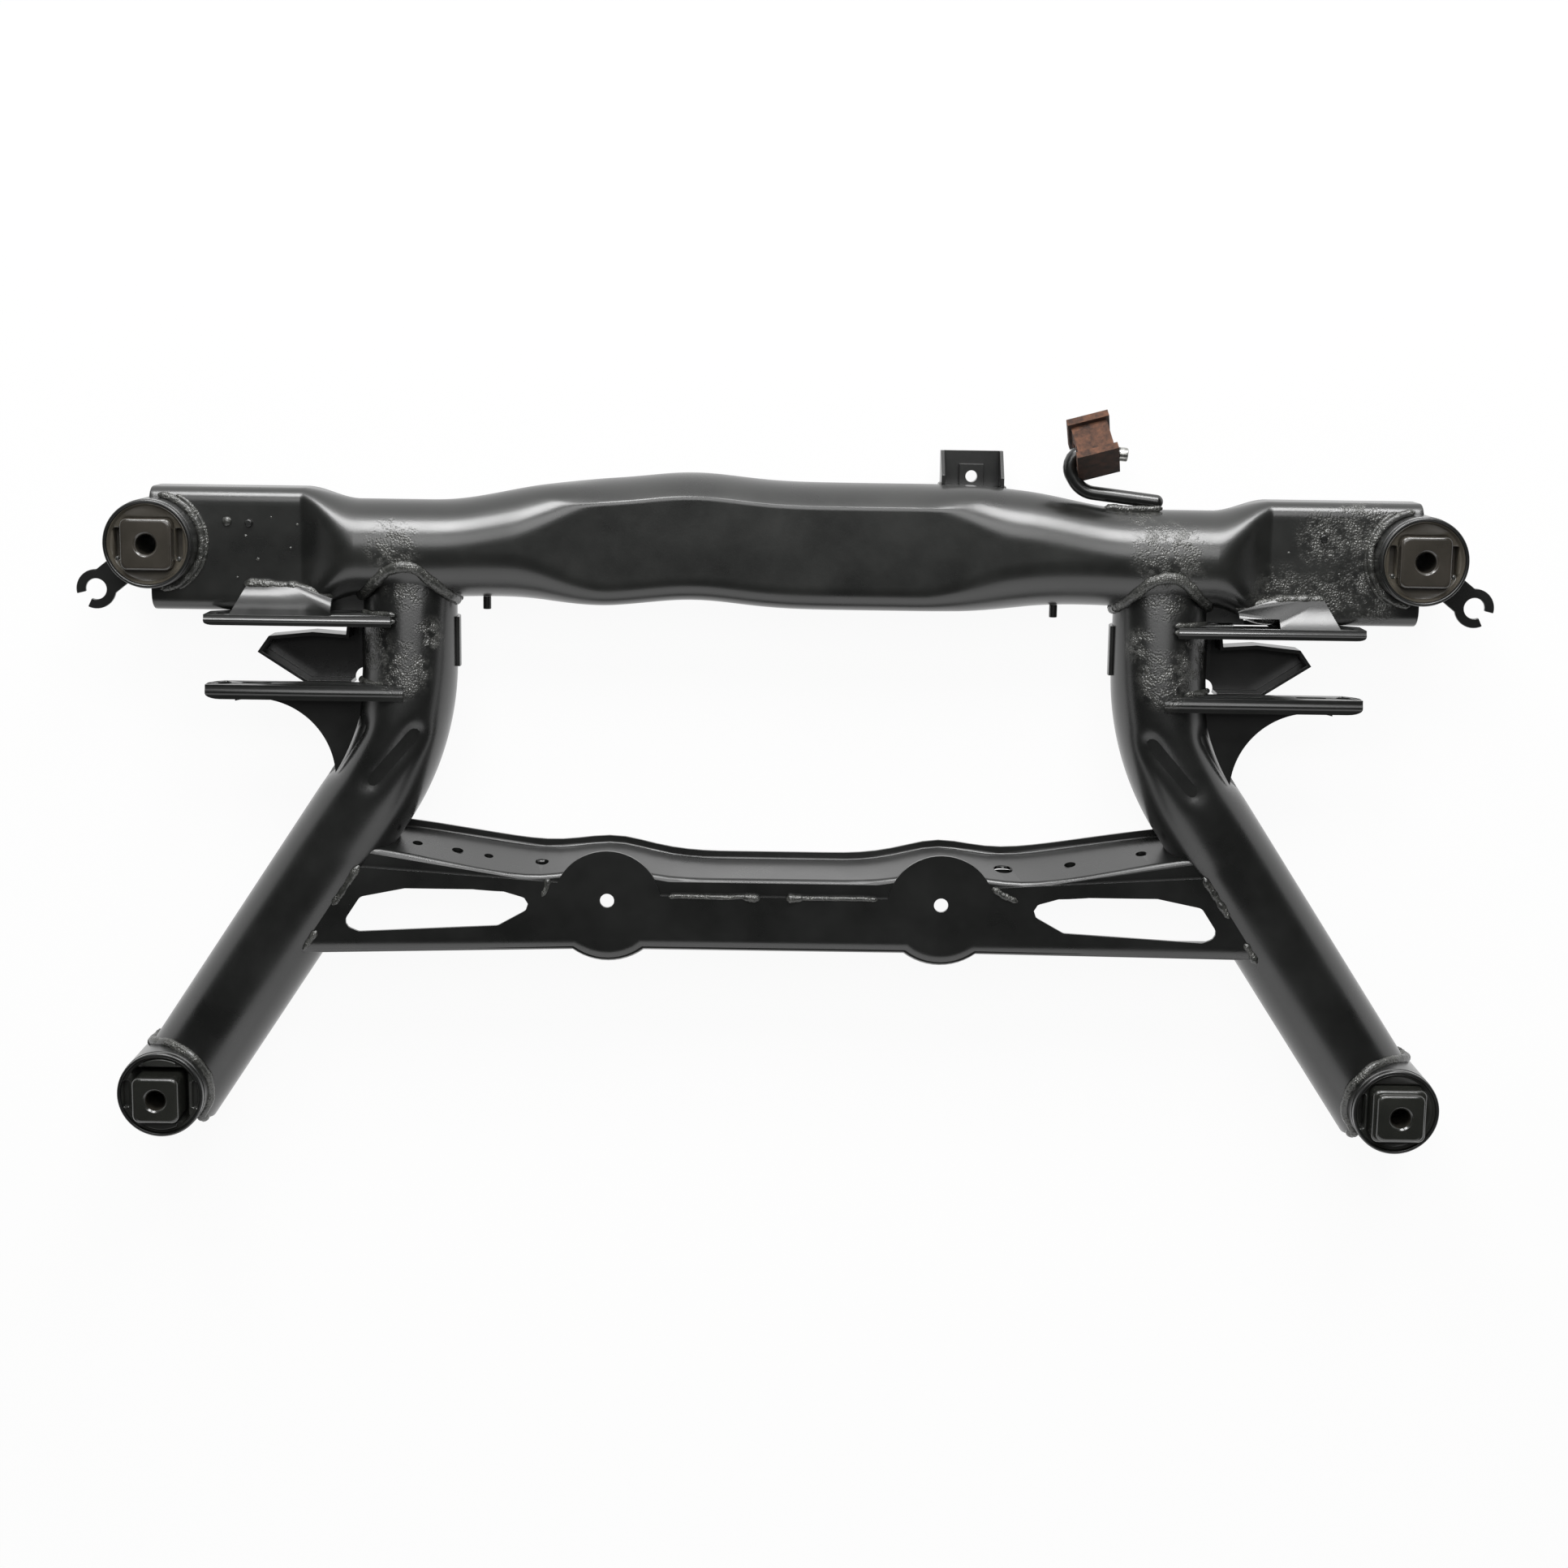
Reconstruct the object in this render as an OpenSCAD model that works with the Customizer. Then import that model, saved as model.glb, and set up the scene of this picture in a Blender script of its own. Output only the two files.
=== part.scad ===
// Rear axle subframe: a hydroformed cross tube and two bent side rails, joined by a stamped
// front crossmember, with four rubber body mounts, link brackets, cable hooks and a hanger.
// X runs across the vehicle, Y to its rear, and Z out of the face that carries the welds.
// The origin is the centre of the four body bolts, on the plane that the mount cores rest on.

/* [Body mounts] */
// Distance between the left and right body bolts
mount_span = 1080; // [1060:5:1120]
// Distance between the front and rear body bolts
mount_base = 480; // [470:5:500]
// Outside diameter of the mount sleeves
sleeve_d = 76; // [74:1:80]
// Wall of the mount sleeves
sleeve_wall = 3.5; // [2.5:0.5:5]
// Height of the rim of the rear sleeves
rear_rim_z = 96; // [92:1:104]
// Height of the rim of the front sleeves
front_rim_z = 106; // [100:1:116]
// Clearance hole for the body bolts
bolt_d = 17; // [13:0.5:18]
// Outside diameter of the core tube in the rubber
core_d = 30; // [26:1:32]
// Side of the square head on the rear cores
rear_head = 43; // [38:1:45]
// Side of the square head on the front cores
front_head = 40; // [36:1:42]

/* [Cross tube] */
// Wall of the cross tube
tube_wall = 3; // [2:0.5:4]
// Radius of the round necks that carry the rails
neck_r = 42; // [41:0.5:46]
// Half height of the pressed middle
mid_half = 54; // [50:1:58]
// Half depth of the pressed middle
mid_deep = 30; // [26:1:36]
// Half height of the flattened ends
end_half = 53; // [48:1:56]
// Half depth of the flattened ends
end_deep = 25; // [22:1:28]

/* [Side rails] */
// Outside radius of the rails
rail_r = 41; // [36:0.5:41]
// Wall of the rails
rail_wall = 3; // [2:0.5:4]
// Distance of the straight rail tops in from the body bolts
rail_inset = 215; // [205:1:225]
// Radius of the rail bends along the axis
bend_r = 220; // [180:10:240]

/* [Front crossmember] */
// Sheet of the two pressings
sheet = 3; // [2:0.5:3.5]
// Distance between the two differential bolts
diff_span = 291; // [280:1:300]
// Radius of the round pads at those bolts
pad_r = 47; // [40:1:50]
// Diameter of the differential bolt holes
diff_d = 12.4; // [10:0.1:14]

/* [Link brackets] */
// Plate of the link brackets
plate = 3.5; // [2.5:0.5:4]
// Gap between the two link plates
link_gap = 56.5; // [52:0.5:60]
// Diameter of the link bolt holes
link_d = 12.5; // [10:0.5:14]

/* [Small fittings] */
// Bore of the cable hooks
hook_d = 18; // [14:1:20]
// Diameter of the hanger rod
rod_d = 11; // [9:0.5:12]
// Hole in the harness bracket and its nut
nut_hole_d = 10.2; // [8:0.1:12]

/* [Hidden] */
$fn = 64;
SIDES = ["left", "right"];
paint = "#2b2c2b";
rust = "#8a6a58";
steel = "#9a9a98";
rubber_black = "#1c1c1c";

// Body mounts: both sleeves start above the floor, and the cores reach down to it
mount_x = mount_span / 2;
mount_y = mount_base / 2;
sleeve_r = sleeve_d / 2;
sleeve_foot = 10;
rubber_r = sleeve_r - sleeve_wall;
rubber_foot = 16;
rubber_drop = 4;
rear_core_top = rear_rim_z + 5;
front_core_top = front_rim_z + 18;
rear_head_h = 15;
front_head_h = 34;
head_corner = 6;
bolt_chamfer = 1.7;
slot_w = 7;
slot_l = 27;
well_side = front_head + 13;
well_depth = 16;
eps = 0.01;
over = 1;

// Cross tube: the axis heights and offsets of its three zones
rail_x = mount_x - rail_inset;
axis_z = 48;
neck_y = mount_y - 4;
mid_y = mount_y + 2.8;
end_y = mount_y - 6;
mid_z = 50;
end_z = 42;
mid_corner = 15;
end_corner = 12;
bulge_x = -80;
bulge_w = 55;
bulge_h = 7;
face_shift = -19;
mid_to_neck = [rail_x - 180, rail_x - 32];
rise_to_neck = [rail_x - 120, rail_x - 20];
face_to_neck = [rail_x - 175, rail_x - 70];
neck_to_end = [rail_x + rail_r, rail_x + rail_r + 48];
tube_end = mount_x + 4;
corner_steps = 8;
station_step = 20;
end_face_z = end_z + end_deep;
end_low_y = end_y - end_half;

// Side rails: straight top, bend and leg, with the leg aimed just inside the front mount
corner_y = mount_y - 166;
foot = [mount_x - 6, -mount_y - 4];
foot_past = 9;
bend_steps = 10;
weld_gap = 0.1;
rail_sides = 32;
leg = unit(foot - [rail_x, corner_y]);
rail_angle = atan2(leg[0], -leg[1]);
bend_y = corner_y + bend_r * tan(rail_angle / 2);
rail_line = bent_line([[rail_x, neck_y], [rail_x, corner_y], foot + foot_past * leg], bend_r, bend_steps);

// Front crossmember: heights and edge lines of the two pressings
shell_z = 14;
web_z = 78;
shell_flange = 8;
shell_y = -33.5;
shell_end = leg_x(shell_y) - 5;
shell_flare = 25;
shell_swell = 9;
shell_rise = 4;
rise_x = [50, 150];
edge_x = [150, shell_end];
crease_x = [200, shell_end];
lap_x = [230, shell_end];
lap_step = [150, 190];
shell_cuts = 28;
swell_w = 40;
shell_slope = 14;
shell_lap = 10;
fold_r = 7;
fold_steps = 4;
diff_x = -6;
diff_y = -66;
pad_y = diff_y - 3;
bolt_room = 8;
rim = 6;
plate_low = -111.5;
plate_skew = 6;
plate_mid_top = -61;
plate_end_top = -37;
plate_pad_top = -50;
wall_foot = 22;
slot_corner = 7;
slot_reach = 50;
slot_tip = diff_span / 2 + pad_r + 17;
slot_out = leg_x(plate_low) - slot_reach;
slot_in = mix(slot_tip, slot_out, 0.2);
slot_ease = [mix(0, slot_out - slot_tip, 0.18), mix(0, slot_out - slot_tip, 0.1)];
slot_top = plate_low + 54;
slot_low = plate_low + 15;
slot_drop = [8, 11, 7, 6];
pads = [diff_x - diff_span / 2, diff_x + diff_span / 2];
drain_z = 50;
drains = [[-0.82, 9], [-0.73, 10], [-0.66, 8], [-0.54, 12], [0.5, 17], [0.65, 10], [0.81, 10]];

// Link brackets: the rear plate lies on the flattened end, the front one a link gap ahead of it
rear_plate_y = end_low_y;
front_plate_y = rear_plate_y - plate - link_gap;
link_tip = mount_x - sleeve_r - 8;
link_x = link_tip - 14;
near_z = 95;
link_z = near_z - 14;
lip = 9;
rear_low_z = 24;
front_low_z = 66;
tab_x = [rail_x + rail_r + 21, link_x - link_d / 2 - 1.5];
tab_drop = 12;
tab_rise = 25;
tab_slant = 12;
tab_foot = 11;
plate_root = rail_x + 10;
rear_taper = 60;
toe = [67, 15];
toe_cut = [16, 8];
window_x = [61, 96];
window_z = [30, 70];
window_deep = 8;
rear_tip = 15;
tip_cut = 12;
shelf_back = 20;
shelf_tip = 4;
shelf_root = rail_x + 50;
pipe_slot = [36, 19];
pipe_d = 9;
web_arc_r = 68;
web_arc = [link_tip - 38, front_plate_y - 83];
saddle_y = [rear_plate_y - plate - 43, rear_plate_y - plate];
saddle_rise = 6;
inner_z = 28;
inner_wall = 26;
inner_tip = link_tip - 37;
inner_nose = 27;
inner_knee = [10, 41];
inner_neck = [48, 45];
inner_back = [77, 43];
inner_top = 79;
inner_low = 42;
inner_root = rail_x + 15;
arch_x = rail_x + 42.5;
arch_r = 8.5;

// Small fittings
hook_at = [mount_x + 53, mount_y - 42];
hook_z = 58;
hook_plate = 4;
hook_rim = 8;
hook_mouth = -39;
hook_open = 25;
hook_root = 26;
hook_reach = 40;
harness_x = [133, 187];
harness_z = mid_z - mid_deep - 6;
harness_deep = 30;
ear_foot = 8;
ear_tip = 10;
nut_side = 21;
nut_h = 6;
nut_x = mix(harness_x[0], harness_x[1], 0.5);
nut_y = tube_top(nut_x) + 6.5;
nut_gap = 6;
harness_top = nut_y + 22;
rod_z = 52;
rod_bend = 6;
rod_fit = 0.1;
rod_lift = 0.6;
rod_end_x = rail_x - 2;
rod_y = neck_y + neck_r;
rod_sides = 24;
rod_points = [
    [rod_end_x, rod_y + rod_d / 2 + rod_lift], [rail_x - 73, rod_y + 15], [rail_x - 95, rod_y + 52],
    [rail_x - 34, rod_y + 46.5]
];
block_at = [rail_x - 64, rod_y + 54, rod_z + 4];
block_turn = [56, 0, 15];
block_flange = [36, 40, 6];
block_web = [31, 30, 27];
clip_x = [67 - rail_x, rail_x - 93];
clip_d = 7;
clip_l = 11;
clip_seat = 0.25;
earth_at = [tube_end - 85, end_y + 23];
earth_d = 6.5;
earth_h = 4;

function mix(a, b, t) = a + (b - a) * t;
function ease(span, x) =
    let (t = max(0, min(1, (x - span[0]) / (span[1] - span[0])))) t * t * (3 - 2 * t);
function bell(x, at, width) = exp(-pow((x - at) / width, 2));
function unit(v) = v / norm(v);
function heading(v) = atan2(v[1], v[0]);
function reversed(list) = [for (i = [len(list) - 1:-1:0]) list[i]];

// Arc of radius r in the corner b between a and c
function corner_arc(a, b, c, r, steps) =
    let (u = unit(a - b), v = unit(c - b), half = acos(u * v) / 2,
         middle = b + unit(u + v) * r / sin(half),
         e = b + u * r / tan(half) - middle, f = b + v * r / tan(half) - middle)
    [for (i = [0:steps]) middle + r * unit(mix(e, f, i / steps))];
function rounded(points, r, steps) = let (n = len(points))
    [for (i = [0:n - 1])
        each corner_arc(points[(i + n - 1) % n], points[i], points[(i + 1) % n], r, steps)];

// A line through flat corner points with each inner corner bent to radius r
function bent_line(points, r, steps) = let (last = len(points) - 1)
    concat([points[0]],
        [for (i = [1:last - 1]) each corner_arc(points[i - 1], points[i], points[i + 1], r, steps)],
        [points[last]]);

// A line of points moved sideways by depth, and a closed outline taken in by depth
function beside(line, depth) = let (n = len(line))
    [for (i = [0:n - 1])
        let (d = unit(line[min(i + 1, n - 1)] - line[max(i - 1, 0)])) line[i] + depth * [-d[1], d[0]]];
function inset(points, depth) = let (n = len(points))
    [for (i = [0:n - 1])
        let (u = unit(points[(i + n - 1) % n] - points[i]), v = unit(points[(i + 1) % n] - points[i]),
             s = u[0] * v[1] - u[1] * v[0])
        points[i] - depth * (u + v) / s];

// Half height, half depth, corner radius and centre of the cross tube at x
function tube_half(x) = let (u = abs(x))
    mix(mix(mid_half, neck_r, ease(mid_to_neck, u)), end_half, ease(neck_to_end, u));
function tube_deep(x) =
    mix(mix(mid_deep, neck_r, ease(face_to_neck, abs(x - face_shift))), end_deep,
        ease(neck_to_end, abs(x)));
function tube_corner(x) =
    mix(mix(mid_corner, neck_r, ease(face_to_neck, abs(x - face_shift))), end_corner,
        ease(neck_to_end, abs(x)));
function tube_y(x) = let (u = abs(x))
    mix(mix(mid_y, neck_y, ease(rise_to_neck, u)), end_y, ease(neck_to_end, u))
    + bulge_h * bell(x, bulge_x, bulge_w);
function tube_z(x) = let (u = abs(x))
    mix(mix(mid_z, axis_z, ease(mid_to_neck, u)), end_z, ease(neck_to_end, u));
function tube_top(x) = tube_y(x) + tube_half(x);

// One rounded rectangle of the tube, taken in from its outside by depth
function tube_ring(x, depth) =
    let (h = tube_half(x) - depth, d = tube_deep(x) - depth,
         r = min(tube_corner(x) - depth, h, d))
    [for (quarter = [0:3], i = [0:corner_steps])
        let (a = 90 * quarter + 90 * i / corner_steps,
             sy = (quarter == 0 || quarter == 3) ? 1 : -1, sz = quarter < 2 ? 1 : -1)
        [x, tube_y(x) + sy * (h - r) + r * cos(a), tube_z(x) + sz * (d - r) + r * sin(a)]];

half_stations = concat([for (x = [0:station_step:mid_to_neck[1]]) x],
    [for (i = [0:corner_steps]) mix(neck_to_end[0], neck_to_end[1], i / corner_steps)], [tube_end]);
tube_stations = concat([for (i = [len(half_stations) - 1:-1:1]) -half_stations[i]], half_stations);

// Skin between closed rings of equal length, with flat ends
module loft(rings) {
    n = len(rings[0]);
    last = (len(rings) - 1) * n;
    polyhedron([for (ring = rings, p = ring) p], concat(
        [for (i = [0:len(rings) - 2], j = [0:n - 1])
            let (k = (j + 1) % n) [i * n + j, (i + 1) * n + j, (i + 1) * n + k, i * n + k]],
        [[for (j = [0:n - 1]) j]], [[for (j = [n - 1:-1:0]) last + j]]));
}

// Skin between rings with a second skin inside it, open at both ends
module hollow_loft(outer, inner) {
    n = len(outer[0]);
    m = len(outer) * n;
    last = (len(outer) - 1) * n;
    polyhedron(concat([for (ring = outer, p = ring) p], [for (ring = inner, p = ring) p]), concat(
        [for (i = [0:len(outer) - 2], j = [0:n - 1])
            let (k = (j + 1) % n) [i * n + j, (i + 1) * n + j, (i + 1) * n + k, i * n + k]],
        [for (i = [0:len(outer) - 2], j = [0:n - 1])
            let (k = (j + 1) % n)
            [m + i * n + k, m + (i + 1) * n + k, m + (i + 1) * n + j, m + i * n + j]],
        [for (j = [0:n - 1]) let (k = (j + 1) % n) [j, k, m + k, m + j]],
        [for (j = [0:n - 1]) let (k = (j + 1) % n) [last + k, last + j, m + last + j, m + last + k]]));
}

module on_side(side) {
    if (side == "left") mirror([1, 0, 0]) children();
    else children();
}

module mount_place(side, y) on_side(side) translate([mount_x, y, 0]) children();

module rounded_square(side, corner) {
    square([side, side - 2 * corner], center = true);
    square([side - 2 * corner, side], center = true);
    for (sx = [-1, 1], sy = [-1, 1])
        translate([sx, sy] * (side / 2 - corner)) circle(corner);
}

module sleeve_cut(y) translate([mount_x, y, -over]) cylinder(r = sleeve_r, h = front_core_top);

module rear_cross_tube() color(paint) difference() {
    hollow_loft([for (x = tube_stations) tube_ring(x, 0)],
        [for (x = tube_stations) tube_ring(x, tube_wall)]);
    for (side = SIDES) on_side(side) sleeve_cut(mount_y);
}

// Rings of a round bar along a flat line of points
function bar_rings(line, r, z, sides) = let (n = len(line))
    [for (i = [0:n - 1])
        let (before = i == 0 ? line[1] - line[0] : line[i] - line[i - 1],
             after = i == n - 1 ? before : line[i + 1] - line[i],
             d = unit(unit(before) + unit(after)))
        [for (j = [0:sides - 1])
            let (a = 360 * j / sides, across = r * cos(a))
            [line[i][0] - across * d[1], line[i][1] + across * d[0], z + r * sin(a)]]];

// The space that the right rail fills, which every piece welded to it is cut to. Its three parts meet
// end to end, or lap for a piece that is cut as a mesh
module rail_space(lap = 0) {
    r = rail_r + weld_gap;
    translate([rail_x, bend_y - lap, axis_z]) rotate([-90, 0, 0])
        cylinder(r = r, h = neck_y - bend_y + lap);
    translate([rail_x + bend_r, bend_y, axis_z]) rotate([0, 0, 180])
        rotate_extrude(angle = rail_angle) translate([bend_r, 0]) circle(r);
    translate([foot[0], foot[1], axis_z]) rotate([0, 0, rail_angle]) translate([0, -foot_past, 0])
        rotate([-90, 0, 0])
        cylinder(r = r, h = norm(foot - [rail_x, corner_y]) + foot_past - (bend_y - corner_y) + lap);
}

module side_rail() color(paint) difference() {
    hollow_loft(bar_rings(rail_line, rail_r, axis_z, rail_sides),
        bar_rings(rail_line, rail_r - rail_wall, axis_z, rail_sides));
    translate([0, neck_y, axis_z]) rotate([0, 90, 0]) cylinder(r = neck_r, h = mount_x);
    sleeve_cut(-mount_y);
}

module sleeve(rim) color(paint) translate([0, 0, sleeve_foot]) difference() {
    cylinder(r = sleeve_r, h = rim - sleeve_foot);
    translate([0, 0, -over]) cylinder(r = rubber_r, h = rim - sleeve_foot + 2 * over);
}

// Core of one mount: a tube with a square head that the body bolt clamps
module core_body(top, head, head_h) {
    cylinder(d = core_d, h = top - head_h);
    translate([0, 0, top - head_h]) linear_extrude(head_h) rounded_square(head, head_corner);
}

module mount_core(top, head, head_h) color(paint) difference() {
    core_body(top, head, head_h);
    translate([0, 0, -over]) cylinder(d = bolt_d, h = top + 2 * over);
    translate([0, 0, top - bolt_chamfer])
        cylinder(d1 = bolt_d, d2 = bolt_d + 2 * bolt_chamfer + 2 * eps, h = bolt_chamfer + eps);
}

module rear_rubber() color(rubber_black) difference() {
    translate([0, 0, rubber_foot]) cylinder(r = rubber_r, h = rear_rim_z - rubber_drop - rubber_foot);
    core_body(rear_core_top, rear_head, rear_head_h);
    for (s = [-1, 1]) translate([s * (rear_head / 2 + slot_w / 2 + over), 0, 0])
        cube([slot_w, slot_l, 3 * front_rim_z], center = true);
}

module front_rubber() color(rubber_black) difference() {
    translate([0, 0, rubber_foot])
        cylinder(r = rubber_r, h = front_rim_z - rubber_drop - rubber_foot);
    core_body(front_core_top, front_head, front_head_h);
    translate([0, 0, front_rim_z - rubber_drop - well_depth])
        linear_extrude(well_depth + over) rounded_square(well_side, head_corner);
}

// Place of the leg axis at y, and the edge lines of the upper pressing at x
function leg_x(y) = rail_x + (corner_y - y) * leg[0] / -leg[1];
function swell(x) = bell(x, pads[0], swell_w) + bell(x, pads[1], swell_w);
function shell_edge(x) = shell_y + shell_flare * ease(edge_x, abs(x)) + shell_swell * swell(x)
    + shell_rise * ease(rise_x, abs(x));
function shell_fold(x) = shell_y - shell_slope + shell_flare * ease(crease_x, abs(x))
    + shell_swell * swell(x);
function shell_low(x) = mix(plate_mid_top, plate_pad_top, ease(lap_step, abs(x))) - shell_lap
    + shell_flare * ease(lap_x, abs(x)) / 2;

// Middle line of the upper pressing at x: rear flange, sloping wall and lap, with rounded folds
function shell_line(x) =
    let (low = shell_z + sheet / 2, high = web_z - sheet / 2, edge = shell_edge(x),
         a = [edge, low], b = [edge - shell_flange, low], c = [shell_fold(x), high],
         d = [shell_low(x), high])
    concat([a], corner_arc(a, b, c, fold_r / 2, fold_steps),
        corner_arc(b, c, d, fold_r / 2, fold_steps), [d]);
function shell_ring(x) = let (line = shell_line(x))
    [for (p = concat(beside(line, -sheet / 2), reversed(beside(line, sheet / 2)))) [x, p[0], p[1]]];

module shell_hole(x, d) translate([x, 0, drain_z]) rotate([90, 0, 0]) cylinder(d = d, h = -plate_low);

module crossmember_shell() color(paint) difference() {
    loft([for (i = [-shell_cuts:shell_cuts]) shell_ring(i * shell_end / shell_cuts)]);
    for (side = SIDES) on_side(side) rail_space(over);
    for (hole = drains) shell_hole(hole[0] * shell_end, hole[1]);
    for (x = pads) translate([x, diff_y, shell_z]) cylinder(d = diff_d + bolt_room, h = web_z);
}

// Lower boundary of the plate, with a round swell under each pad
module plate_foot() {
    polygon([[-leg_x(plate_low), plate_low - plate_skew], [pads[0], plate_low],
        [leg_x(plate_low), plate_low], [leg_x(pad_y), pad_y], [-leg_x(pad_y), pad_y]]);
    intersection() {
        for (x = pads) translate([x, pad_y]) circle(pad_r + rim);
        translate([-shell_end, pad_y - 2 * pad_r]) square([2 * shell_end, 2 * pad_r]);
    }
}

module plate_face() {
    plate_foot();
    polygon([[-leg_x(pad_y), pad_y], [leg_x(pad_y), pad_y], [leg_x(plate_end_top), plate_end_top],
        [pads[1] + pad_r, plate_pad_top], [pads[1] + pad_r / 2, plate_mid_top],
        [pads[0] - pad_r / 2 + pad_r, plate_mid_top], [pads[0] - pad_r, plate_pad_top],
        [-leg_x(plate_end_top), plate_end_top]]);
    for (x = pads) translate([x, pad_y]) circle(pad_r);
}

// Long hole beside the right pad, tapered towards it and parallel to the rail
function slot_end(y, ease) = [leg_x(y) - slot_reach - ease, y];
slot_points = [[slot_tip, slot_top - slot_drop[1]], [slot_in, slot_low + slot_drop[2]],
    slot_end(slot_low, slot_ease[1]), slot_end(slot_low + slot_drop[3], 0),
    slot_end(slot_top - slot_drop[0], 0), slot_end(slot_top, slot_ease[0]), [slot_in, slot_top]];

module crossmember_plate() color(paint) difference() {
    union() {
        translate([0, 0, web_z]) linear_extrude(sheet) difference() {
            plate_face();
            for (side = SIDES) on_side(side) polygon(rounded(slot_points, slot_corner, fold_steps));
            for (x = pads) translate([x, diff_y]) circle(d = diff_d);
        }
        translate([0, 0, wall_foot]) linear_extrude(web_z - wall_foot + sheet / 2) difference() {
            plate_foot();
            translate([0, sheet]) plate_foot();
        }
    }
    for (side = SIDES) on_side(side) rail_space();
}

// A flat plate that stands across Y, from an outline in X and Z, with its rear face at y
module upright(y, thick) translate([0, y, 0]) rotate([90, 0, 0]) linear_extrude(thick) children();

// A hole through such a plate at the height of the link bolt
module plate_hole(y, x, d) translate([x, y + over, link_z]) rotate([90, 0, 0])
    cylinder(d = d, h = plate + 2 * over);

module rear_link_bracket() color(paint) difference() {
    union() {
        upright(rear_plate_y, plate) polygon([[plate_root, rear_low_z], [link_tip - rear_taper, rear_low_z],
            [link_tip, link_z - rear_tip], [link_tip, near_z], [plate_root, near_z]]);
        upright(rear_plate_y, lip) polygon([[plate_root, near_z - plate],
            [link_tip - lip, near_z - plate], [link_tip, near_z], [plate_root, near_z]]);
        intersection() {
            translate([tab_x[0], 0, 0]) rotate([90, 0, 90]) linear_extrude(tab_x[1] - tab_x[0])
                polygon([[rear_plate_y, near_z - plate], [rear_plate_y, near_z],
                    [rear_plate_y + tab_rise, end_face_z + plate], [rear_plate_y + tab_rise, end_face_z],
                    [rear_plate_y + tab_rise - plate, end_face_z]]);
            linear_extrude(2 * near_z) polygon([[tab_x[0], rear_plate_y], [tab_x[1], rear_plate_y],
                [tab_x[1] - tab_slant, rear_plate_y + tab_rise],
                [neck_to_end[1] + tab_foot, rear_plate_y + tab_rise],
                [tab_x[0], rear_plate_y + tab_rise - tab_drop]]);
        }
        translate([rail_x, rear_plate_y, rear_low_z]) linear_extrude(plate)
            polygon([[plate_root - rail_x, -plate / 2], [toe[0], -plate / 2],
                [toe[0] - toe_cut[1], toe_cut[1]], [toe[0] - toe_cut[0] - toe_cut[1], toe[1]],
                [plate_root - rail_x, toe[1]]]);
    }
    plate_hole(rear_plate_y, link_x, link_d);
    rail_space();
}

// Opening beside the rail in the right rear plate and its tab
module plate_window() translate([rail_x + window_x[0], rear_plate_y - plate - over, window_z[0]]) {
    cube([window_x[1] - window_x[0], plate + 2 * over, window_z[1] - window_z[0]]);
    translate([0, plate + over, 0]) cube([window_x[1] - window_x[0], window_deep, near_z]);
}

module front_link_bracket() color(paint) difference() {
    union() {
        upright(front_plate_y, plate) polygon([[rail_x, front_low_z], [link_tip - tip_cut, front_low_z],
            [link_tip, front_low_z + tip_cut], [link_tip, near_z], [rail_x, near_z]]);
        upright(front_plate_y, lip + plate) polygon([[rail_x, near_z - plate],
            [link_tip - lip, near_z - plate], [link_tip, near_z], [rail_x, near_z]]);
        translate([0, 0, front_low_z]) linear_extrude(plate) difference() {
            polygon([[rail_x, front_plate_y - plate / 2],
                [link_tip - shelf_back, front_plate_y - plate / 2],
                [link_tip - shelf_back, web_arc[1] + web_arc_r - shelf_tip], [web_arc[0], web_arc[1]],
                [shelf_root, web_arc[1]]]);
            translate(web_arc) circle(web_arc_r);
        }
    }
    plate_hole(front_plate_y, link_x, link_d);
    for (step = pipe_slot) plate_hole(front_plate_y, link_x - step, pipe_d);
    translate([link_x - pipe_slot[0], front_plate_y - plate - over, link_z - pipe_d / 2])
        cube([pipe_slot[0] - pipe_slot[1], plate + 2 * over, pipe_d]);
    rail_space();
}

inner_points = let (top = rear_plate_y - plate, low = front_plate_y - plate)
    [[inner_tip, low + inner_nose], [inner_tip - inner_knee[0], low + inner_knee[1]],
     [inner_tip - inner_neck[0], low + inner_neck[1]], [inner_tip - inner_back[0], low + inner_back[1]],
     [inner_tip - inner_top, top],
     [inner_root, top], [inner_root, low], [inner_tip - inner_low, low]];

// Half shell that carries the inner bracket on the far side of the rail
module saddle_space() translate([rail_x, saddle_y[0], axis_z]) rotate([-90, 0, 0])
    cylinder(r = rail_r + sheet, h = saddle_y[1] - saddle_y[0]);

module rail_saddle() color(paint) difference() {
    intersection() {
        saddle_space();
        translate([rail_x - 2 * rail_r, saddle_y[0], axis_z + saddle_rise - 2 * rail_r])
            cube([4 * rail_r, saddle_y[1] - saddle_y[0], 2 * rail_r]);
    }
    rail_space();
}

module inner_link_bracket() color(paint) difference() {
    translate([0, 0, inner_z]) linear_extrude(inner_wall) polygon(inner_points);
    translate([0, 0, inner_z + sheet]) linear_extrude(inner_wall) polygon(inset(inner_points, sheet));
    translate([arch_x, front_plate_y, 0]) {
        cylinder(r = arch_r, h = near_z);
        translate([rail_x - arch_x, -arch_r, 0]) cube([arch_x - rail_x, 2 * arch_r, near_z]);
    }
    saddle_space();
    rail_space();
}

module cable_hook() color(paint) translate([0, 0, hook_z]) linear_extrude(hook_plate) difference() {
    union() {
        translate(hook_at) circle(hook_d / 2 + hook_rim);
        translate(hook_at) rotate(heading([mount_x, mount_y] - hook_at)) translate([0, -hook_root / 2])
            square([sleeve_r, hook_root]);
    }
    translate(hook_at) circle(d = hook_d);
    translate(hook_at) polygon([[0, 0],
        for (s = [-1, 1]) let (a = hook_mouth + s * hook_open) hook_reach * [cos(a), sin(a)]]);
    translate([mount_x, mount_y]) circle(sleeve_r);
}

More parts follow.
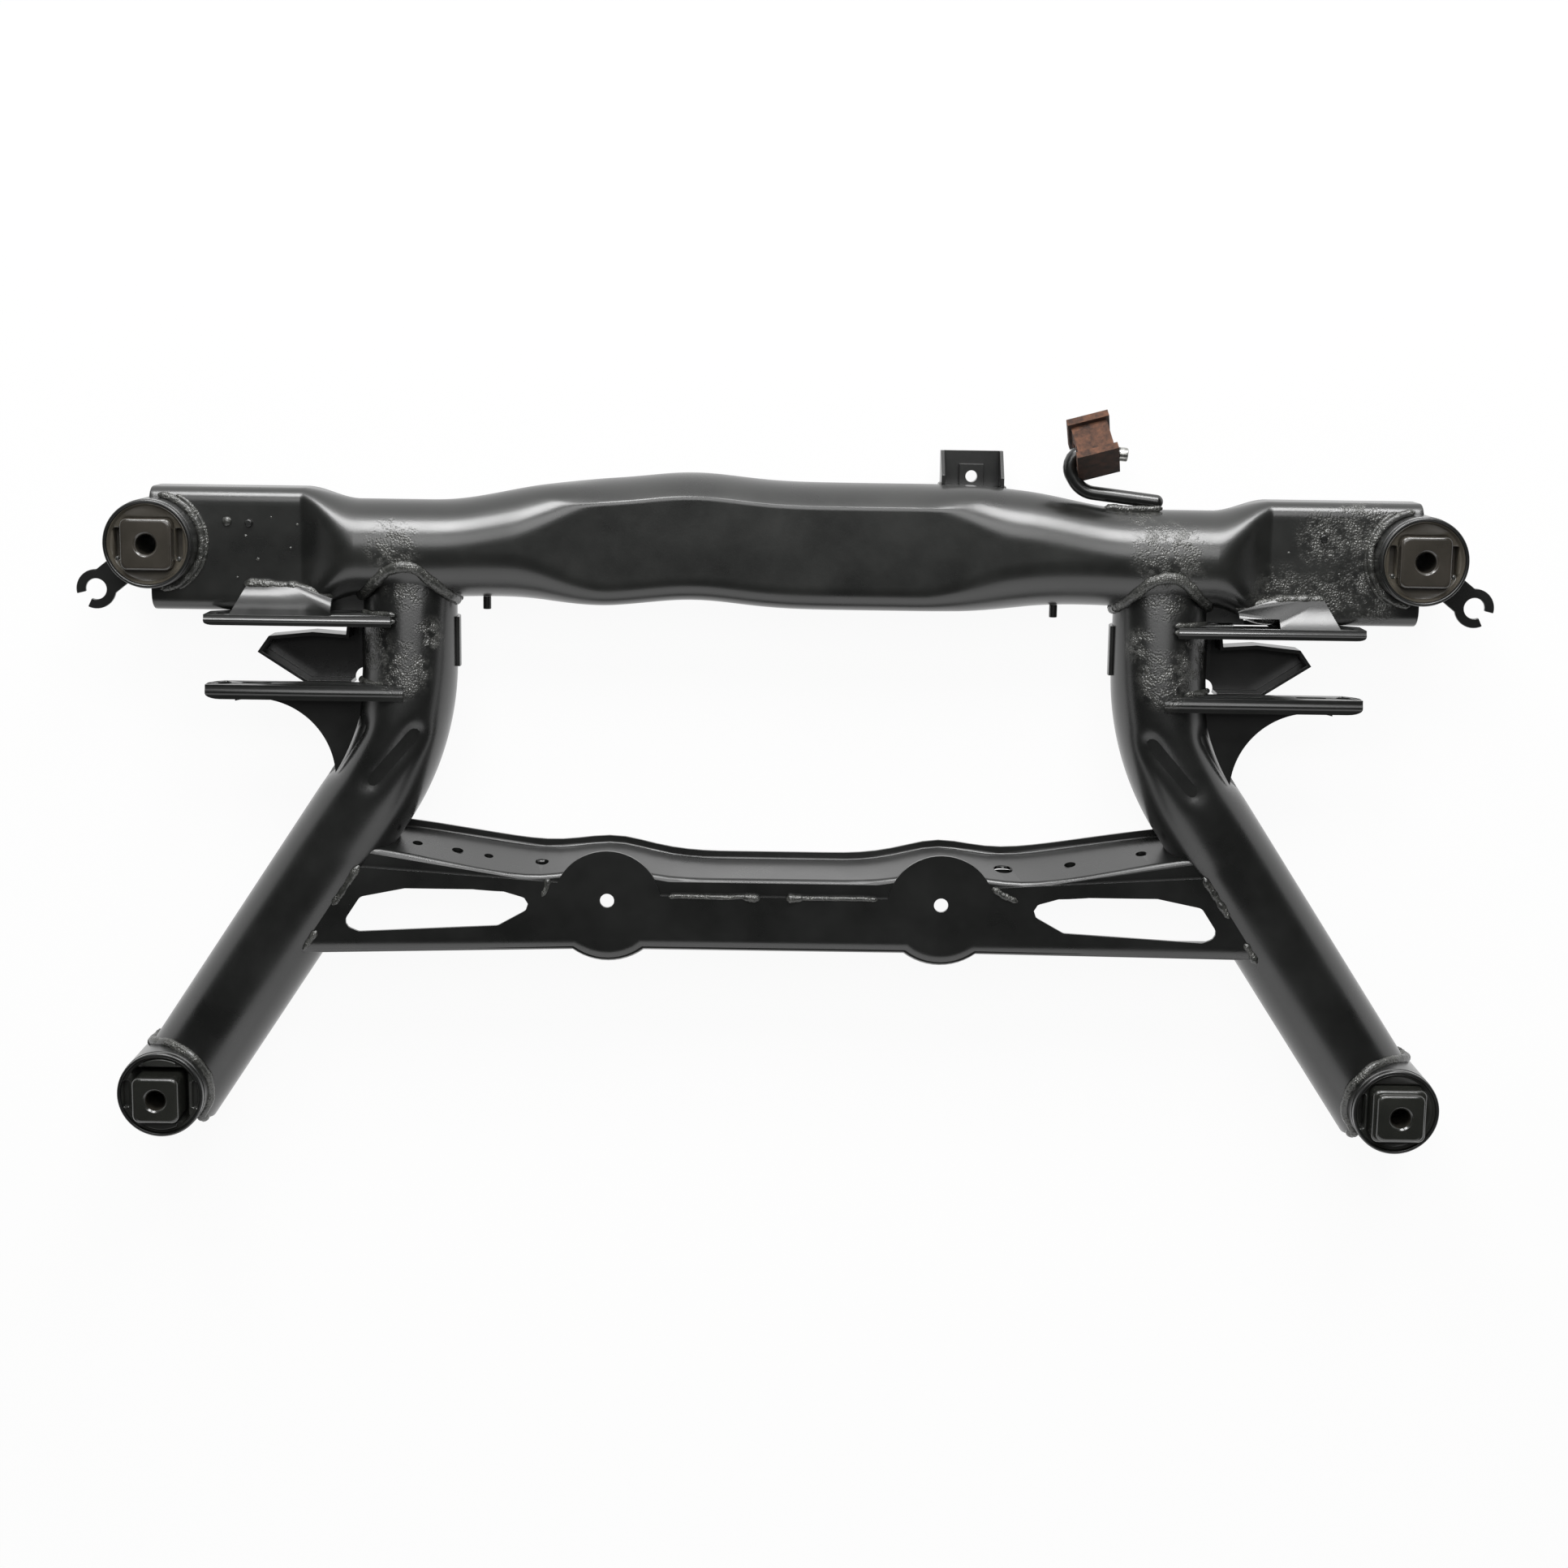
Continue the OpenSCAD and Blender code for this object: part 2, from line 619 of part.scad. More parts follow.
module harness_bracket() color(paint) difference() {
    union() {
        translate([harness_x[0], nut_y - nut_side / 2 - nut_gap, harness_z])
            cube([harness_x[1] - harness_x[0], harness_top - nut_y + nut_side / 2 + nut_gap, sheet]);
        for (x = [harness_x[0], harness_x[1] - sheet]) translate([x, 0, harness_z])
            rotate([90, 0, 90]) linear_extrude(sheet)
            polygon([[harness_top, 0], [tube_top(x), 0], [tube_top(x), harness_deep],
                [tube_top(x) + ear_foot, harness_deep], [harness_top, ear_tip]]);
    }
    translate([nut_x, nut_y, 0]) cylinder(d = nut_hole_d, h = near_z);
}

module harness_nut() color(paint)
    translate([nut_x, nut_y, harness_z + sheet]) difference() {
        translate([-nut_side / 2, -nut_side / 2, 0]) cube([nut_side, nut_side, nut_h]);
        translate([0, 0, -over]) cylinder(d = nut_hole_d, h = nut_h + 2 * over);
    }

module hanger_rod() color(steel)
    loft(bar_rings(bent_line(rod_points, rod_bend, fold_steps), rod_d / 2, rod_z, rod_sides));

module hanger_block() color(rust) difference() {
    translate(block_at) rotate(block_turn) {
        cube(block_web + [0, 0, 2 * over], center = true);
        for (s = [-1, 1]) translate([0, 0, s * (block_web[2] + block_flange[2]) / 2])
            cube(block_flange, center = true);
    }
    for (i = [1, 2]) let (a = rod_points[i], b = rod_points[i + 1])
        translate([b[0], b[1], rod_z]) rotate([0, 0, heading(a - b)]) rotate([0, 90, 0])
        cylinder(d = rod_d + rod_fit, h = 4 * block_flange[1], center = true);
}

module clip_stud(x) color(steel) translate([x, tube_y(x) - tube_half(x) - clip_seat, tube_z(x)])
    rotate([90, 0, 0]) cylinder(d = clip_d, h = clip_l);

module earth_stud() color(steel) translate([earth_at[0], earth_at[1], end_face_z])
    cylinder(d = earth_d, h = earth_h);

rear_cross_tube();
for (side = SIDES) {
    on_side(side) side_rail();
    mount_place(side, mount_y) sleeve(rear_rim_z);
    mount_place(side, -mount_y) sleeve(front_rim_z);
    mount_place(side, mount_y) rear_rubber();
    mount_place(side, -mount_y) front_rubber();
    mount_place(side, mount_y) mount_core(rear_core_top, rear_head, rear_head_h);
    mount_place(side, -mount_y) mount_core(front_core_top, front_head, front_head_h);
    on_side(side) front_link_bracket();
    on_side(side) inner_link_bracket();
    on_side(side) rail_saddle();
    on_side(side) cable_hook();
    on_side(side) earth_stud();
}
on_side("left") rear_link_bracket();  // left_rear_link_bracket
color(paint) difference() {  // right_rear_link_bracket
    rear_link_bracket();
    plate_window();
}
crossmember_shell();
crossmember_plate();
harness_bracket();
harness_nut();
hanger_rod();
hanger_block();
clip_stud(clip_x[0]);  // left_clip_stud
clip_stud(clip_x[1]);  // right_clip_stud
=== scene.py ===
import bpy
import bmesh
import math
import random
from mathutils import Matrix, Vector, noise


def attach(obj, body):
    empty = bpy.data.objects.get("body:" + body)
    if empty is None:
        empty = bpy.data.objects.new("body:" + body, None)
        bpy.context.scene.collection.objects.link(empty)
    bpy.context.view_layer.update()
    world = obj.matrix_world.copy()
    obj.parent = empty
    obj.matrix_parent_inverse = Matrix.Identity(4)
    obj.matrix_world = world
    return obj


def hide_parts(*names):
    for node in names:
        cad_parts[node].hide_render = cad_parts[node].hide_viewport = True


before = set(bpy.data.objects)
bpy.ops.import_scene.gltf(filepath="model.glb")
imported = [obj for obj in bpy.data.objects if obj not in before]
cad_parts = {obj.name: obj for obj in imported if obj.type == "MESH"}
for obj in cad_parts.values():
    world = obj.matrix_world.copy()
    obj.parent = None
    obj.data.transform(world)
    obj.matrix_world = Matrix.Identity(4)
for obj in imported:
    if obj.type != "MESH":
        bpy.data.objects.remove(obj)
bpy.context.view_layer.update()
random.seed(11)
print("frame loaded:", len(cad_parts), "nodes")

# shared sizes of the subframe in millimetres, as in the part's source
body = dict(mountX=540, mountY=240, sleeveR=38, sleeveWall=3.5, sleeveFoot=10, rearRim=96, frontRim=106,
            rearTop=101, frontTop=124, boltR=8.5, coreR=15, railX=325, railR=41, railWall=3, bendR=220, cornerY=74,
            footX=534, footY=-244, footPast=9, axisZ=48, plateZ=81, rearPlateY=181, frontPlateY=121, plate=3.5)


def mm(*xyz):
    return Vector(xyz) * 0.001


def mix(a, b, t):
    return a + (b - a) * t


def ease(span, x):
    t = max(0.0, min(1.0, (x - span[0]) / (span[1] - span[0])))
    return t * t * (3 - 2 * t)


def bell(x, at, width):
    return math.exp(-((x - at) / width) ** 2)


def hexColour(text, alpha=1.0):
    def linear(c):
        return c / 12.92 if c <= 0.04045 else ((c + 0.055) / 1.055) ** 2.4
    return tuple(linear(int(text[i:i + 2], 16) / 255) for i in (1, 3, 5)) + (alpha,)


def addNode(tree, kind, put=None, feed=None, **look):
    node = tree.nodes.new(kind)
    for key, value in look.items():
        setattr(node, key, value)
    for key, value in (put or {}).items():
        node.inputs[key].default_value = value
    for key, value in (feed or {}).items():
        tree.links.new(value, node.inputs[key])
    return node


# camera: 59 mm lens, 2.3 m above the part and 10 degrees off the plumb line, as the photograph
view = dict(lens=58.7, sensor=36, tilt=-10.0, roll=0.82, place=(1.2, 423, 2255.7))
camera = bpy.data.objects.new("camera", bpy.data.cameras.new("camera"))
camera.data.lens = view["lens"]
camera.data.sensor_width = view["sensor"]
camera.matrix_world = (Matrix.Translation(mm(*view["place"]))
                       @ Matrix.Rotation(math.radians(view["tilt"]), 4, "X")
                       @ Matrix.Rotation(math.radians(view["roll"]), 4, "Z"))
bpy.context.scene.collection.objects.link(camera)
bpy.context.scene.camera = camera

# chassis black: alkyd paint sprayed over cleaned steel, so a deep black with a soft gloss, cloudy where it lies thin,
# faintly peeled like an orange, and glittering where spatter and old pits lie under it; lengths in millimetres
paintLook = dict(deep="#0e0f0e", thin="#181918", rough=(0.25, 0.35), ior=1.5, shine=0.8, coat=0.3, coatRough=0.2,
                 cloud=70, cloudRange=(0.3, 0.7), peel=2.0, peelStrength=0.03, grit=1.8, gritDeep=1.3,
                 patch=9, patchRange=(0.42, 0.58), zoneFade=(1.12, 0.4), bare="#8d8d88", bareShare=0.24)


def paintMaterial(name, zones=(), deep=None, thin=None, rough=None):
    mat = bpy.data.materials.new(name)
    mat.use_nodes = True
    tree = mat.node_tree
    shader = tree.nodes["Principled BSDF"]
    place = addNode(tree, "ShaderNodeTexCoord").outputs["Object"]
    # spray passes and rubbed places, about 70 mm across
    cloud = addNode(tree, "ShaderNodeTexNoise", {"Scale": 1000 / paintLook["cloud"], "Detail": 4.0, "Roughness": 0.6},
                    {"Vector": place})
    tone = addNode(tree, "ShaderNodeValToRGB", None, {"Fac": cloud.outputs["Fac"]})
    start, stop = paintLook["cloudRange"]
    tone.color_ramp.elements[0].position, tone.color_ramp.elements[1].position = start, stop
    tone.color_ramp.elements[0].color = hexColour(deep or paintLook["deep"])
    tone.color_ramp.elements[1].color = hexColour(thin or paintLook["thin"])
    low, high = rough or paintLook["rough"]
    sheen = addNode(tree, "ShaderNodeMapRange", {"From Min": start, "From Max": stop, "To Min": low, "To Max": high},
                    {"Value": cloud.outputs["Fac"]})
    # orange peel is really near 1 mm, drawn at 2 mm so that it shows
    peel = addNode(tree, "ShaderNodeTexNoise", {"Scale": 1000 / paintLook["peel"], "Detail": 1.0}, {"Vector": place})
    skin = addNode(tree, "ShaderNodeBump", {"Strength": paintLook["peelStrength"], "Distance": 0.001},
                   {"Height": peel.outputs["Fac"]})
    # spatter and pits of just under 2 mm in broken patches, only in the zones round the welds
    mask = None
    for spot, reach in zones:
        gap = addNode(tree, "ShaderNodeVectorMath", {1: mm(*spot)}, {0: place}, operation="DISTANCE")
        far, close = (reach * share * 0.001 for share in paintLook["zoneFade"])
        near = addNode(tree, "ShaderNodeMapRange", {"From Min": far, "From Max": close}, {"Value": gap.outputs["Value"]},
                       interpolation_type="SMOOTHSTEP").outputs["Result"]
        if mask is None:
            mask = near
        else:
            mask = addNode(tree, "ShaderNodeMath", None, {0: mask, 1: near}, operation="MAXIMUM").outputs[0]
    normal = skin.outputs["Normal"]
    colour = tone.outputs["Color"]
    if mask is not None:
        patch = addNode(tree, "ShaderNodeTexNoise", {"Scale": 1000 / paintLook["patch"], "Detail": 5.0, "Roughness": 0.7},
                        {"Vector": place})
        start, stop = paintLook["patchRange"]
        broken = addNode(tree, "ShaderNodeMapRange", {"From Min": start, "From Max": stop}, {"Value": patch.outputs["Fac"]})
        gritty = addNode(tree, "ShaderNodeMath", None, {0: broken.outputs["Result"], 1: mask},
                         operation="MULTIPLY").outputs[0]
        grit = addNode(tree, "ShaderNodeTexVoronoi", {"Scale": 1000 / paintLook["grit"], "Smoothness": 0.35},
                       {"Vector": place}, feature="SMOOTH_F1")
        normal = addNode(tree, "ShaderNodeBump", {"Distance": paintLook["gritDeep"] * 0.001},
                         {"Height": grit.outputs["Distance"], "Strength": gritty, "Normal": normal},
                         invert=True).outputs["Normal"]
        # the paint is rubbed thin on the grains, so steel glints through
        bare = addNode(tree, "ShaderNodeMath", {1: paintLook["bareShare"]}, {0: gritty}, operation="MULTIPLY").outputs[0]
        colour = addNode(tree, "ShaderNodeMix", {7: hexColour(paintLook["bare"])}, {0: bare, 6: colour},
                         data_type="RGBA").outputs[2]
        tree.links.new(bare, shader.inputs["Metallic"])
    tree.links.new(colour, shader.inputs["Base Color"])
    tree.links.new(sheen.outputs["Result"], shader.inputs["Roughness"])
    tree.links.new(normal, shader.inputs["Normal"])
    for key, value in (("IOR", "ior"), ("Specular IOR Level", "shine"), ("Coat Weight", "coat"),
                       ("Coat Roughness", "coatRough")):
        shader.inputs[key].default_value = paintLook[value]
    return mat


# gritty zones as a middle point and a reach
weldZones = []
for s in (-1, 1):
    weldZones += [((s * 324, 210, 86), 26), ((s * 302, 165, 82), 17), ((s * 325, 135, 90), 27), ((s * 352, 152, 78), 24)]
tubeZones = [((-333, 240, 89), 26), ((326, 242, 89), 36), ((424, 203, 68), 34), ((460, 256, 67), 27), ((490, 266, 67), 30),
             ((500, 212, 67), 34), ((462, 206, 67), 26), ((300, 276, 62), 24)]
paint = paintMaterial("sprayed_black_chassis_paint", weldZones)
tubePaint = paintMaterial("black_chassis_paint_over_pitted_tube", tubeZones, "#141514", "#222321")
# bushes: the same paint over rubber and steel cores, dusty and brown at the rear, blacker at the front
# the rear rubber is brown with dust and also painted lighter, as painted light that makes up for the shade it lies in
# inside the sleeve
rearRubberDustAndLight = paintMaterial("dusty_bush_rubber_with_painted_light", (), "#45413a", "#5b564c", rough=(0.28, 0.42))
corePaint = paintMaterial("black_paint_over_bush_core", (), "#26241f", "#3b3731", rough=(0.15, 0.25))
frontBush = paintMaterial("black_paint_over_front_bush_rubber", (), "#191a18", "#2b2c29", rough=(0.26, 0.4))
frontCore = paintMaterial("black_paint_over_front_bush_core", (), "#171816", "#272824", rough=(0.15, 0.25))
# weld beads: painted, but rippled metal that breaks the gloss, so one zone takes in the whole part
weldZone = [((0, 0, 60), 2000)]
weldPaint = paintMaterial("black_paint_over_weld_beads", weldZone, "#20211f", "#353633")


def grainMaterial(name, colours, rough, metal, grain, depth, shine=0.5):
    mat = bpy.data.materials.new(name)
    mat.use_nodes = True
    tree = mat.node_tree
    shader = tree.nodes["Principled BSDF"]
    place = addNode(tree, "ShaderNodeTexCoord").outputs["Object"]
    spots = addNode(tree, "ShaderNodeTexNoise", {"Scale": 1000 / grain, "Detail": 5.0, "Roughness": 0.65},
                    {"Vector": place})
    tone = addNode(tree, "ShaderNodeValToRGB", None, {"Fac": spots.outputs["Fac"]})
    tone.color_ramp.elements[0].position, tone.color_ramp.elements[1].position = 0.34, 0.66
    tone.color_ramp.elements[0].color, tone.color_ramp.elements[1].color = hexColour(colours[0]), hexColour(colours[1])
    bump = addNode(tree, "ShaderNodeBump", {"Strength": depth, "Distance": 0.001}, {"Height": spots.outputs["Fac"]})
    tree.links.new(tone.outputs["Color"], shader.inputs["Base Color"])
    tree.links.new(bump.outputs["Normal"], shader.inputs["Normal"])
    shader.inputs["Roughness"].default_value = rough
    shader.inputs["Metallic"].default_value = metal
    shader.inputs["Specular IOR Level"].default_value = shine
    return mat


# hanger pad: moulded rubber under road rust, matt and brown, its face towards the front and up coloured nearly black
rustRubber = grainMaterial("rust_stained_rubber", ("#30211a", "#6d4834"), rough=0.8, metal=0.0, grain=7, depth=0.3)
darkFrontFaceRubber = grainMaterial("dark_rubber_on_front_face", ("#241e19", "#4a3227"), rough=0.65, metal=0.0, grain=9, depth=0.25)
# cut end of the rod: mild steel rubbed bright
rubbedSteel = grainMaterial("rubbed_mild_steel", ("#8f8f8c", "#d6d6d2"), rough=0.28, metal=1.0, grain=3, depth=0.1)
# wall of the bolt holes: painted shade, a matt dark colour for the shade that falls deep inside the holes
boltHoleShade = grainMaterial("painted_shade_in_bolt_hole", ("#14130f", "#2b2822"), rough=0.9, metal=0.0, grain=5, depth=0.2,
                         shine=0.15)
print("materials made")


def addPiece(name, bm, mat, nodes=(), sharp=35):
    mesh = bpy.data.meshes.new(name)
    bm.to_mesh(mesh)
    bm.free()
    mesh.shade_smooth()
    mesh.set_sharp_from_angle(angle=math.radians(sharp))
    obj = bpy.data.objects.new(name, mesh)
    bpy.context.scene.collection.objects.link(obj)
    mesh.materials.append(mat)
    # large flat faces keep their own normals beside rounded edges
    flat = obj.modifiers.new("flat_faces", "WEIGHTED_NORMAL")
    flat.keep_sharp = True
    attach(obj, "root")
    if nodes:
        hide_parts(*nodes)
    return obj


def stackLoops(loops, closed=False):
    # one ring of vertices, pulled out edge by edge into each next ring
    bm = bmesh.new()
    count = len(loops[0])
    ring = bmesh.ops.create_circle(bm, segments=count, radius=1.0)["verts"]
    first = list(ring)
    for vert, point in zip(ring, loops[0]):
        vert.co = point
    edges = list(bm.edges)
    firstEdges = list(edges)
    for loop in loops[1:]:
        order = {vert: i for i, vert in enumerate(ring)}
        made = bmesh.ops.extrude_edge_only(bm, edges=edges)["geom"]
        fresh = [None] * count
        for vert in made:
            if isinstance(vert, bmesh.types.BMVert):
                for edge in vert.link_edges:
                    other = edge.other_vert(vert)
                    if other in order:
                        fresh[order[other]] = vert
        for vert, point in zip(fresh, loop):
            vert.co = point
        keep = set(fresh)
        edges = [e for e in made if isinstance(e, bmesh.types.BMEdge) and e.verts[0] in keep and e.verts[1] in keep]
        ring = fresh
    if closed:
        bmesh.ops.bridge_loops(bm, edges=edges + firstEdges)
    else:
        bmesh.ops.contextual_create(bm, geom=first)
        bmesh.ops.contextual_create(bm, geom=list(ring))
    bmesh.ops.recalc_face_normals(bm, faces=bm.faces)
    return bm


def bevelEdges(bm, edges, size, segments, clamp=True):
    bmesh.ops.bevel(bm, geom=edges, offset=size * 0.001, offset_type="OFFSET", affect="EDGES", segments=segments,
                    profile=0.5, material=-1, clamp_overlap=clamp)


def cutterFrom(bm):
    mesh = bpy.data.meshes.new("cutter")
    bm.to_mesh(mesh)
    bm.free()
    obj = bpy.data.objects.new("cutter", mesh)
    bpy.context.scene.collection.objects.link(obj)
    return obj


def drumCutter(x, y, r, low, high):
    bm = bmesh.new()
    bmesh.ops.create_cone(bm, cap_ends=True, segments=96, radius1=r * 0.001, radius2=r * 0.001, depth=(high - low) * 0.001)
    bmesh.ops.translate(bm, verts=bm.verts, vec=mm(x, y, (low + high) / 2))
    return cutterFrom(bm)


def boxCutter(x, y, z, wide, long, deep, corner):
    bm = bmesh.new()
    bmesh.ops.create_cube(bm, size=1.0)
    bmesh.ops.scale(bm, verts=bm.verts, vec=mm(wide, long, deep))
    upright = [e for e in bm.edges if abs(e.verts[0].co.z - e.verts[1].co.z) > 1e-6]
    bevelEdges(bm, upright, corner, 4)
    bmesh.ops.translate(bm, verts=bm.verts, vec=mm(x, y, z))
    return cutterFrom(bm)


def cutBy(obj, cutters, sharp=35):
    for cutter in cutters:
        mod = obj.modifiers.new("cut", "BOOLEAN")
        mod.operation, mod.solver, mod.object = "DIFFERENCE", "EXACT", cutter
    shape = bpy.data.meshes.new_from_object(obj.evaluated_get(bpy.context.evaluated_depsgraph_get()))
    obj.modifiers.clear()
    old = obj.data
    obj.data = shape
    bpy.data.meshes.remove(old)
    for cutter in cutters:
        bpy.data.objects.remove(cutter)
    obj.data.set_sharp_from_angle(angle=math.radians(sharp))


# formed cross tube: round necks, pressed middle and flattened ends in one skin with its wall
tube = dict(midHalf=54, midDeep=30, neckR=42, endHalf=53, endDeep=25, wall=3, midY=242.8, neckY=236, endY=234,
            midZ=50, endZ=42, midCorner=20, endCorner=12, bulge=(-80, 55, 7), faceShift=-19, midToNeck=(145, 293),
            riseToNeck=(205, 305), faceToNeck=(132, 216), neckToEnd=(366, 414), crease=0.6, end=544, endRound=2,
            ring=144, foldShare=0.38, step=4, liningSkip=4, slope=19, slopeTilt=42, bore=(0.3, 5, 120))


def creased(span, x):
    # leaves the neck smoothly and stops in a soft fold at the box
    t = max(0.0, min(1.0, (x - span[0]) / (span[1] - span[0])))
    return mix(ease(span, x), 1 - math.cos(t * math.pi / 2), tube["crease"])


def tubeSection(x):
    u = abs(x)
    toNeck, toEnd, toFold = ease(tube["midToNeck"], u), ease(tube["neckToEnd"], u), creased(tube["neckToEnd"], u)
    toRound = ease(tube["faceToNeck"], abs(x - tube["faceShift"]))
    half = mix(mix(tube["midHalf"], tube["neckR"], toNeck), tube["endHalf"], toEnd)
    deep = mix(mix(tube["midDeep"], tube["neckR"], toRound), tube["endDeep"], toFold)
    corner = mix(mix(tube["midCorner"], tube["neckR"], toRound), tube["endCorner"], toFold)
    at, width, rise = tube["bulge"]
    y = mix(mix(tube["midY"], tube["neckY"], ease(tube["riseToNeck"], u)), tube["endY"], toEnd) + rise * bell(x, at, width)
    z = mix(mix(tube["midZ"], body["axisZ"], toNeck), tube["endZ"], toFold)
    over = (u - tube["end"] + tube["endRound"]) / tube["endRound"]
    if over > 0:
        half -= tube["endRound"] * (1 - math.sqrt(max(0.0, 1 - over * over)))
    return y, z, half, deep, corner


def polarReach(half, deep, corner, angle):
    # distance from the middle of a rounded rectangle to its edge in one direction
    c, s = abs(math.cos(angle)), abs(math.sin(angle))
    corner = min(corner, half, deep)
    if c > 1e-9 and half / c * s <= deep - corner:
        return half / c
    if s > 1e-9 and deep / s * c <= half - corner:
        return deep / s
    cy, cz = half - corner, deep - corner
    b = c * cy + s * cz
    return b + math.sqrt(max(0.0, b * b - (cy * cy + cz * cz - corner * corner)))


def slopeReach(half, deep, reach, angle):
    # the pressed middle falls away above its face: a crease, then a wall that curves over to upright
    tilt = math.radians(tube["slopeTilt"])
    r = tube["slope"] / (1 - math.sin(tilt))
    start = half - tube["slope"]

    def outside(d):
        y, z = d * math.cos(angle), d * math.sin(angle)
        lean = math.sin(tilt) + (y - start) / r
        return y > start and (lean > 1 or z > deep - r * (math.cos(tilt) - math.sqrt(1 - lean * lean)))

    if math.cos(angle) <= 0 or not outside(reach):
        return reach
    low, high = 0, reach
    for _ in range(24):
        middle = (low + high) / 2
        low, high = (low, middle) if outside(middle) else (middle, high)
    return low


def tubeLoop(x, depth):
    y, z, half, deep, corner = tubeSection(x)
    half, deep, corner = half - depth, deep - depth, max(corner - depth, 1)
    slant = 1 - ease(tube["faceToNeck"], abs(x - tube["faceShift"]))
    # one point of the ring always lies on the crease
    fold = math.atan2(deep, half - tube["slope"])
    first = round(tube["ring"] * tube["foldShare"])
    rest = tube["ring"] - first
    points = []
    for i in range(tube["ring"]):
        a = mix(-math.pi / 2, fold, i / first) if i < first else mix(fold, 1.5 * math.pi, (i - first) / rest)
        reach = polarReach(half, deep, corner, a)
        reach = mix(reach, slopeReach(half, deep, reach, a), slant)
        points.append(mm(x, y + reach * math.cos(a), z + reach * math.sin(a)))
    return points


half = [tube["step"] * i for i in range(1 + int((tube["end"] - tube["endRound"]) / tube["step"]))]
half += list(tube["neckToEnd"])
half += [tube["end"] - tube["endRound"] * (1 - math.sin(math.pi / 10 * i)) for i in range(1, 6)]
stations = sorted(set([-x for x in half] + half))
inner = [x for x in stations[::-tube["liningSkip"]] if abs(x) < tube["end"] - tube["endRound"]]
inner = [stations[-1]] + inner + [stations[0]]
skin, lining = [tubeLoop(x, 0) for x in stations], [tubeLoop(x, tube["wall"]) for x in inner]
crossTube = addPiece("cross_tube", stackLoops(skin + lining, True), tubePaint, ["rear_cross_tube"], 50)
into, low, high = tube["bore"]
cutBy(crossTube, [drumCutter(s * body["mountX"], body["mountY"], body["sleeveR"] - into, low, high) for s in (-1, 1)])
print("cross tube:", len(crossTube.data.polygons), "faces")

# side rails: bent tube, coped to the neck and to the sleeve, with two press marks on the bend
rail = dict(ring=80, step=6, bendSteps=26, neckGap=4, copeRings=5, footBack=60, footRings=8, dentFade=12,
            crown=[(-400, 0), (-30, 0), (55, 6), (88, 6.5), (121, 4), (212, -9.5), (400, -9.5)],
            dents=[((317, 78), (351, 41), 9, 4.4), ((366, 83), (390, 49), 8, 3.8)])
legDir = Vector((body["footX"] - body["railX"], body["footY"] - body["cornerY"])).normalized()
legAngle = math.atan2(legDir.x, -legDir.y)
bendY = body["cornerY"] + body["bendR"] * math.tan(legAngle / 2)
footEnd = Vector((body["footX"], body["footY"])) + body["footPast"] * legDir


def legX(y):
    return body["railX"] + (body["cornerY"] - y) * math.tan(legAngle)


def railPath():
    # centre points with their direction, from just below the neck to the last full ring at the foot
    path = []
    y = tube["neckY"] - tube["neckR"] - rail["neckGap"]
    while y > bendY:
        path.append((Vector((body["railX"], y)), Vector((0, -1))))
        y -= rail["step"]
    for i in range(rail["bendSteps"] + 1):
        a = legAngle * i / rail["bendSteps"]
        path.append((Vector((body["railX"] + body["bendR"] * (1 - math.cos(a)), bendY - body["bendR"] * math.sin(a))),
                     Vector((math.sin(a), -math.cos(a)))))
    start = path[-1][0]
    length = (footEnd - start).length - rail["footBack"]
    steps = round(length / rail["step"])
    for i in range(1, steps + 1):
        path.append((start + legDir * length * i / steps, legDir))
    return path


def dentDepth(p, z):
    total = 0
    if z < body["axisZ"]:
        return 0
    for a, b, width, depth in rail["dents"]:
        a, b = Vector(a), Vector(b)
        along = (b - a).normalized()
        t = (p - a).dot(along)
        off = (p - a - along * t).length
        over = max(0, -t, t - (b - a).length)
        total += depth * math.exp(-(off / width) ** 2 - (over / rail["dentFade"]) ** 2)
    return total


def crownLift(y):
    # the rail's top lies low at the neck and swells towards the bend
    for (a, low), (b, high) in zip(rail["crown"], rail["crown"][1:]):
        if a <= y <= b:
            return mix(low, high, (y - a) / (b - a))


def footReach(p):
    # how far a line of the leg runs before it meets the sleeve or the leg's end
    m = Vector((body["mountX"], -body["mountY"]))
    stop = (footEnd - p).dot(legDir)
    b = (p - m).dot(legDir)
    c = (p - m).length_squared - body["sleeveR"] ** 2
    hit = b * b - c
    return min(stop, -b - math.sqrt(hit)) if hit > 0 else stop


def railLoops(side, r, dents):
    loops = []
    path = railPath()

    def ringAt(centre, heading, shift):
        points = []
        for i in range(rail["ring"]):
            a = 2 * math.pi * i / rail["ring"]
            across = Vector((-heading.y, heading.x)) * r * math.cos(a)
            p = centre + across
            z = r * math.sin(a)
            p = p + shift(p, z)
            d = dentDepth(p, body["axisZ"] + z) / r if dents else 0
            lift = max(0, math.sin(a)) * crownLift(p.y)
            points.append(mm(side * (p - across * d).x, (p - across * d).y, body["axisZ"] + z * (1 - d) + lift))
        return points

    def toNeck(p, z, share):
        return Vector((0, (tube["neckY"] - math.sqrt(tube["neckR"] ** 2 - z * z) - p.y) * share))

    top, down = path[0]
    for j in range(rail["copeRings"]):
        loops.append(ringAt(top, down, lambda p, z: toNeck(p, z, 1 - j / rail["copeRings"])))
    for centre, heading in path:
        loops.append(ringAt(centre, heading, lambda p, z: Vector((0, 0))))
    last = path[-1][0]
    for j in range(1, rail["footRings"] + 1):
        loops.append(ringAt(last, legDir, lambda p, z: legDir * footReach(p) * j / rail["footRings"]))
    return loops


for side, word in ((-1, "left"), (1, "right")):
    outer = railLoops(side, body["railR"], True)
    inside = railLoops(side, body["railR"] - body["railWall"], False)[::-1]
    addPiece(word + "_rail", stackLoops(outer + inside, True), paint, [word + "_side_rail"], 45)
print("rails made")

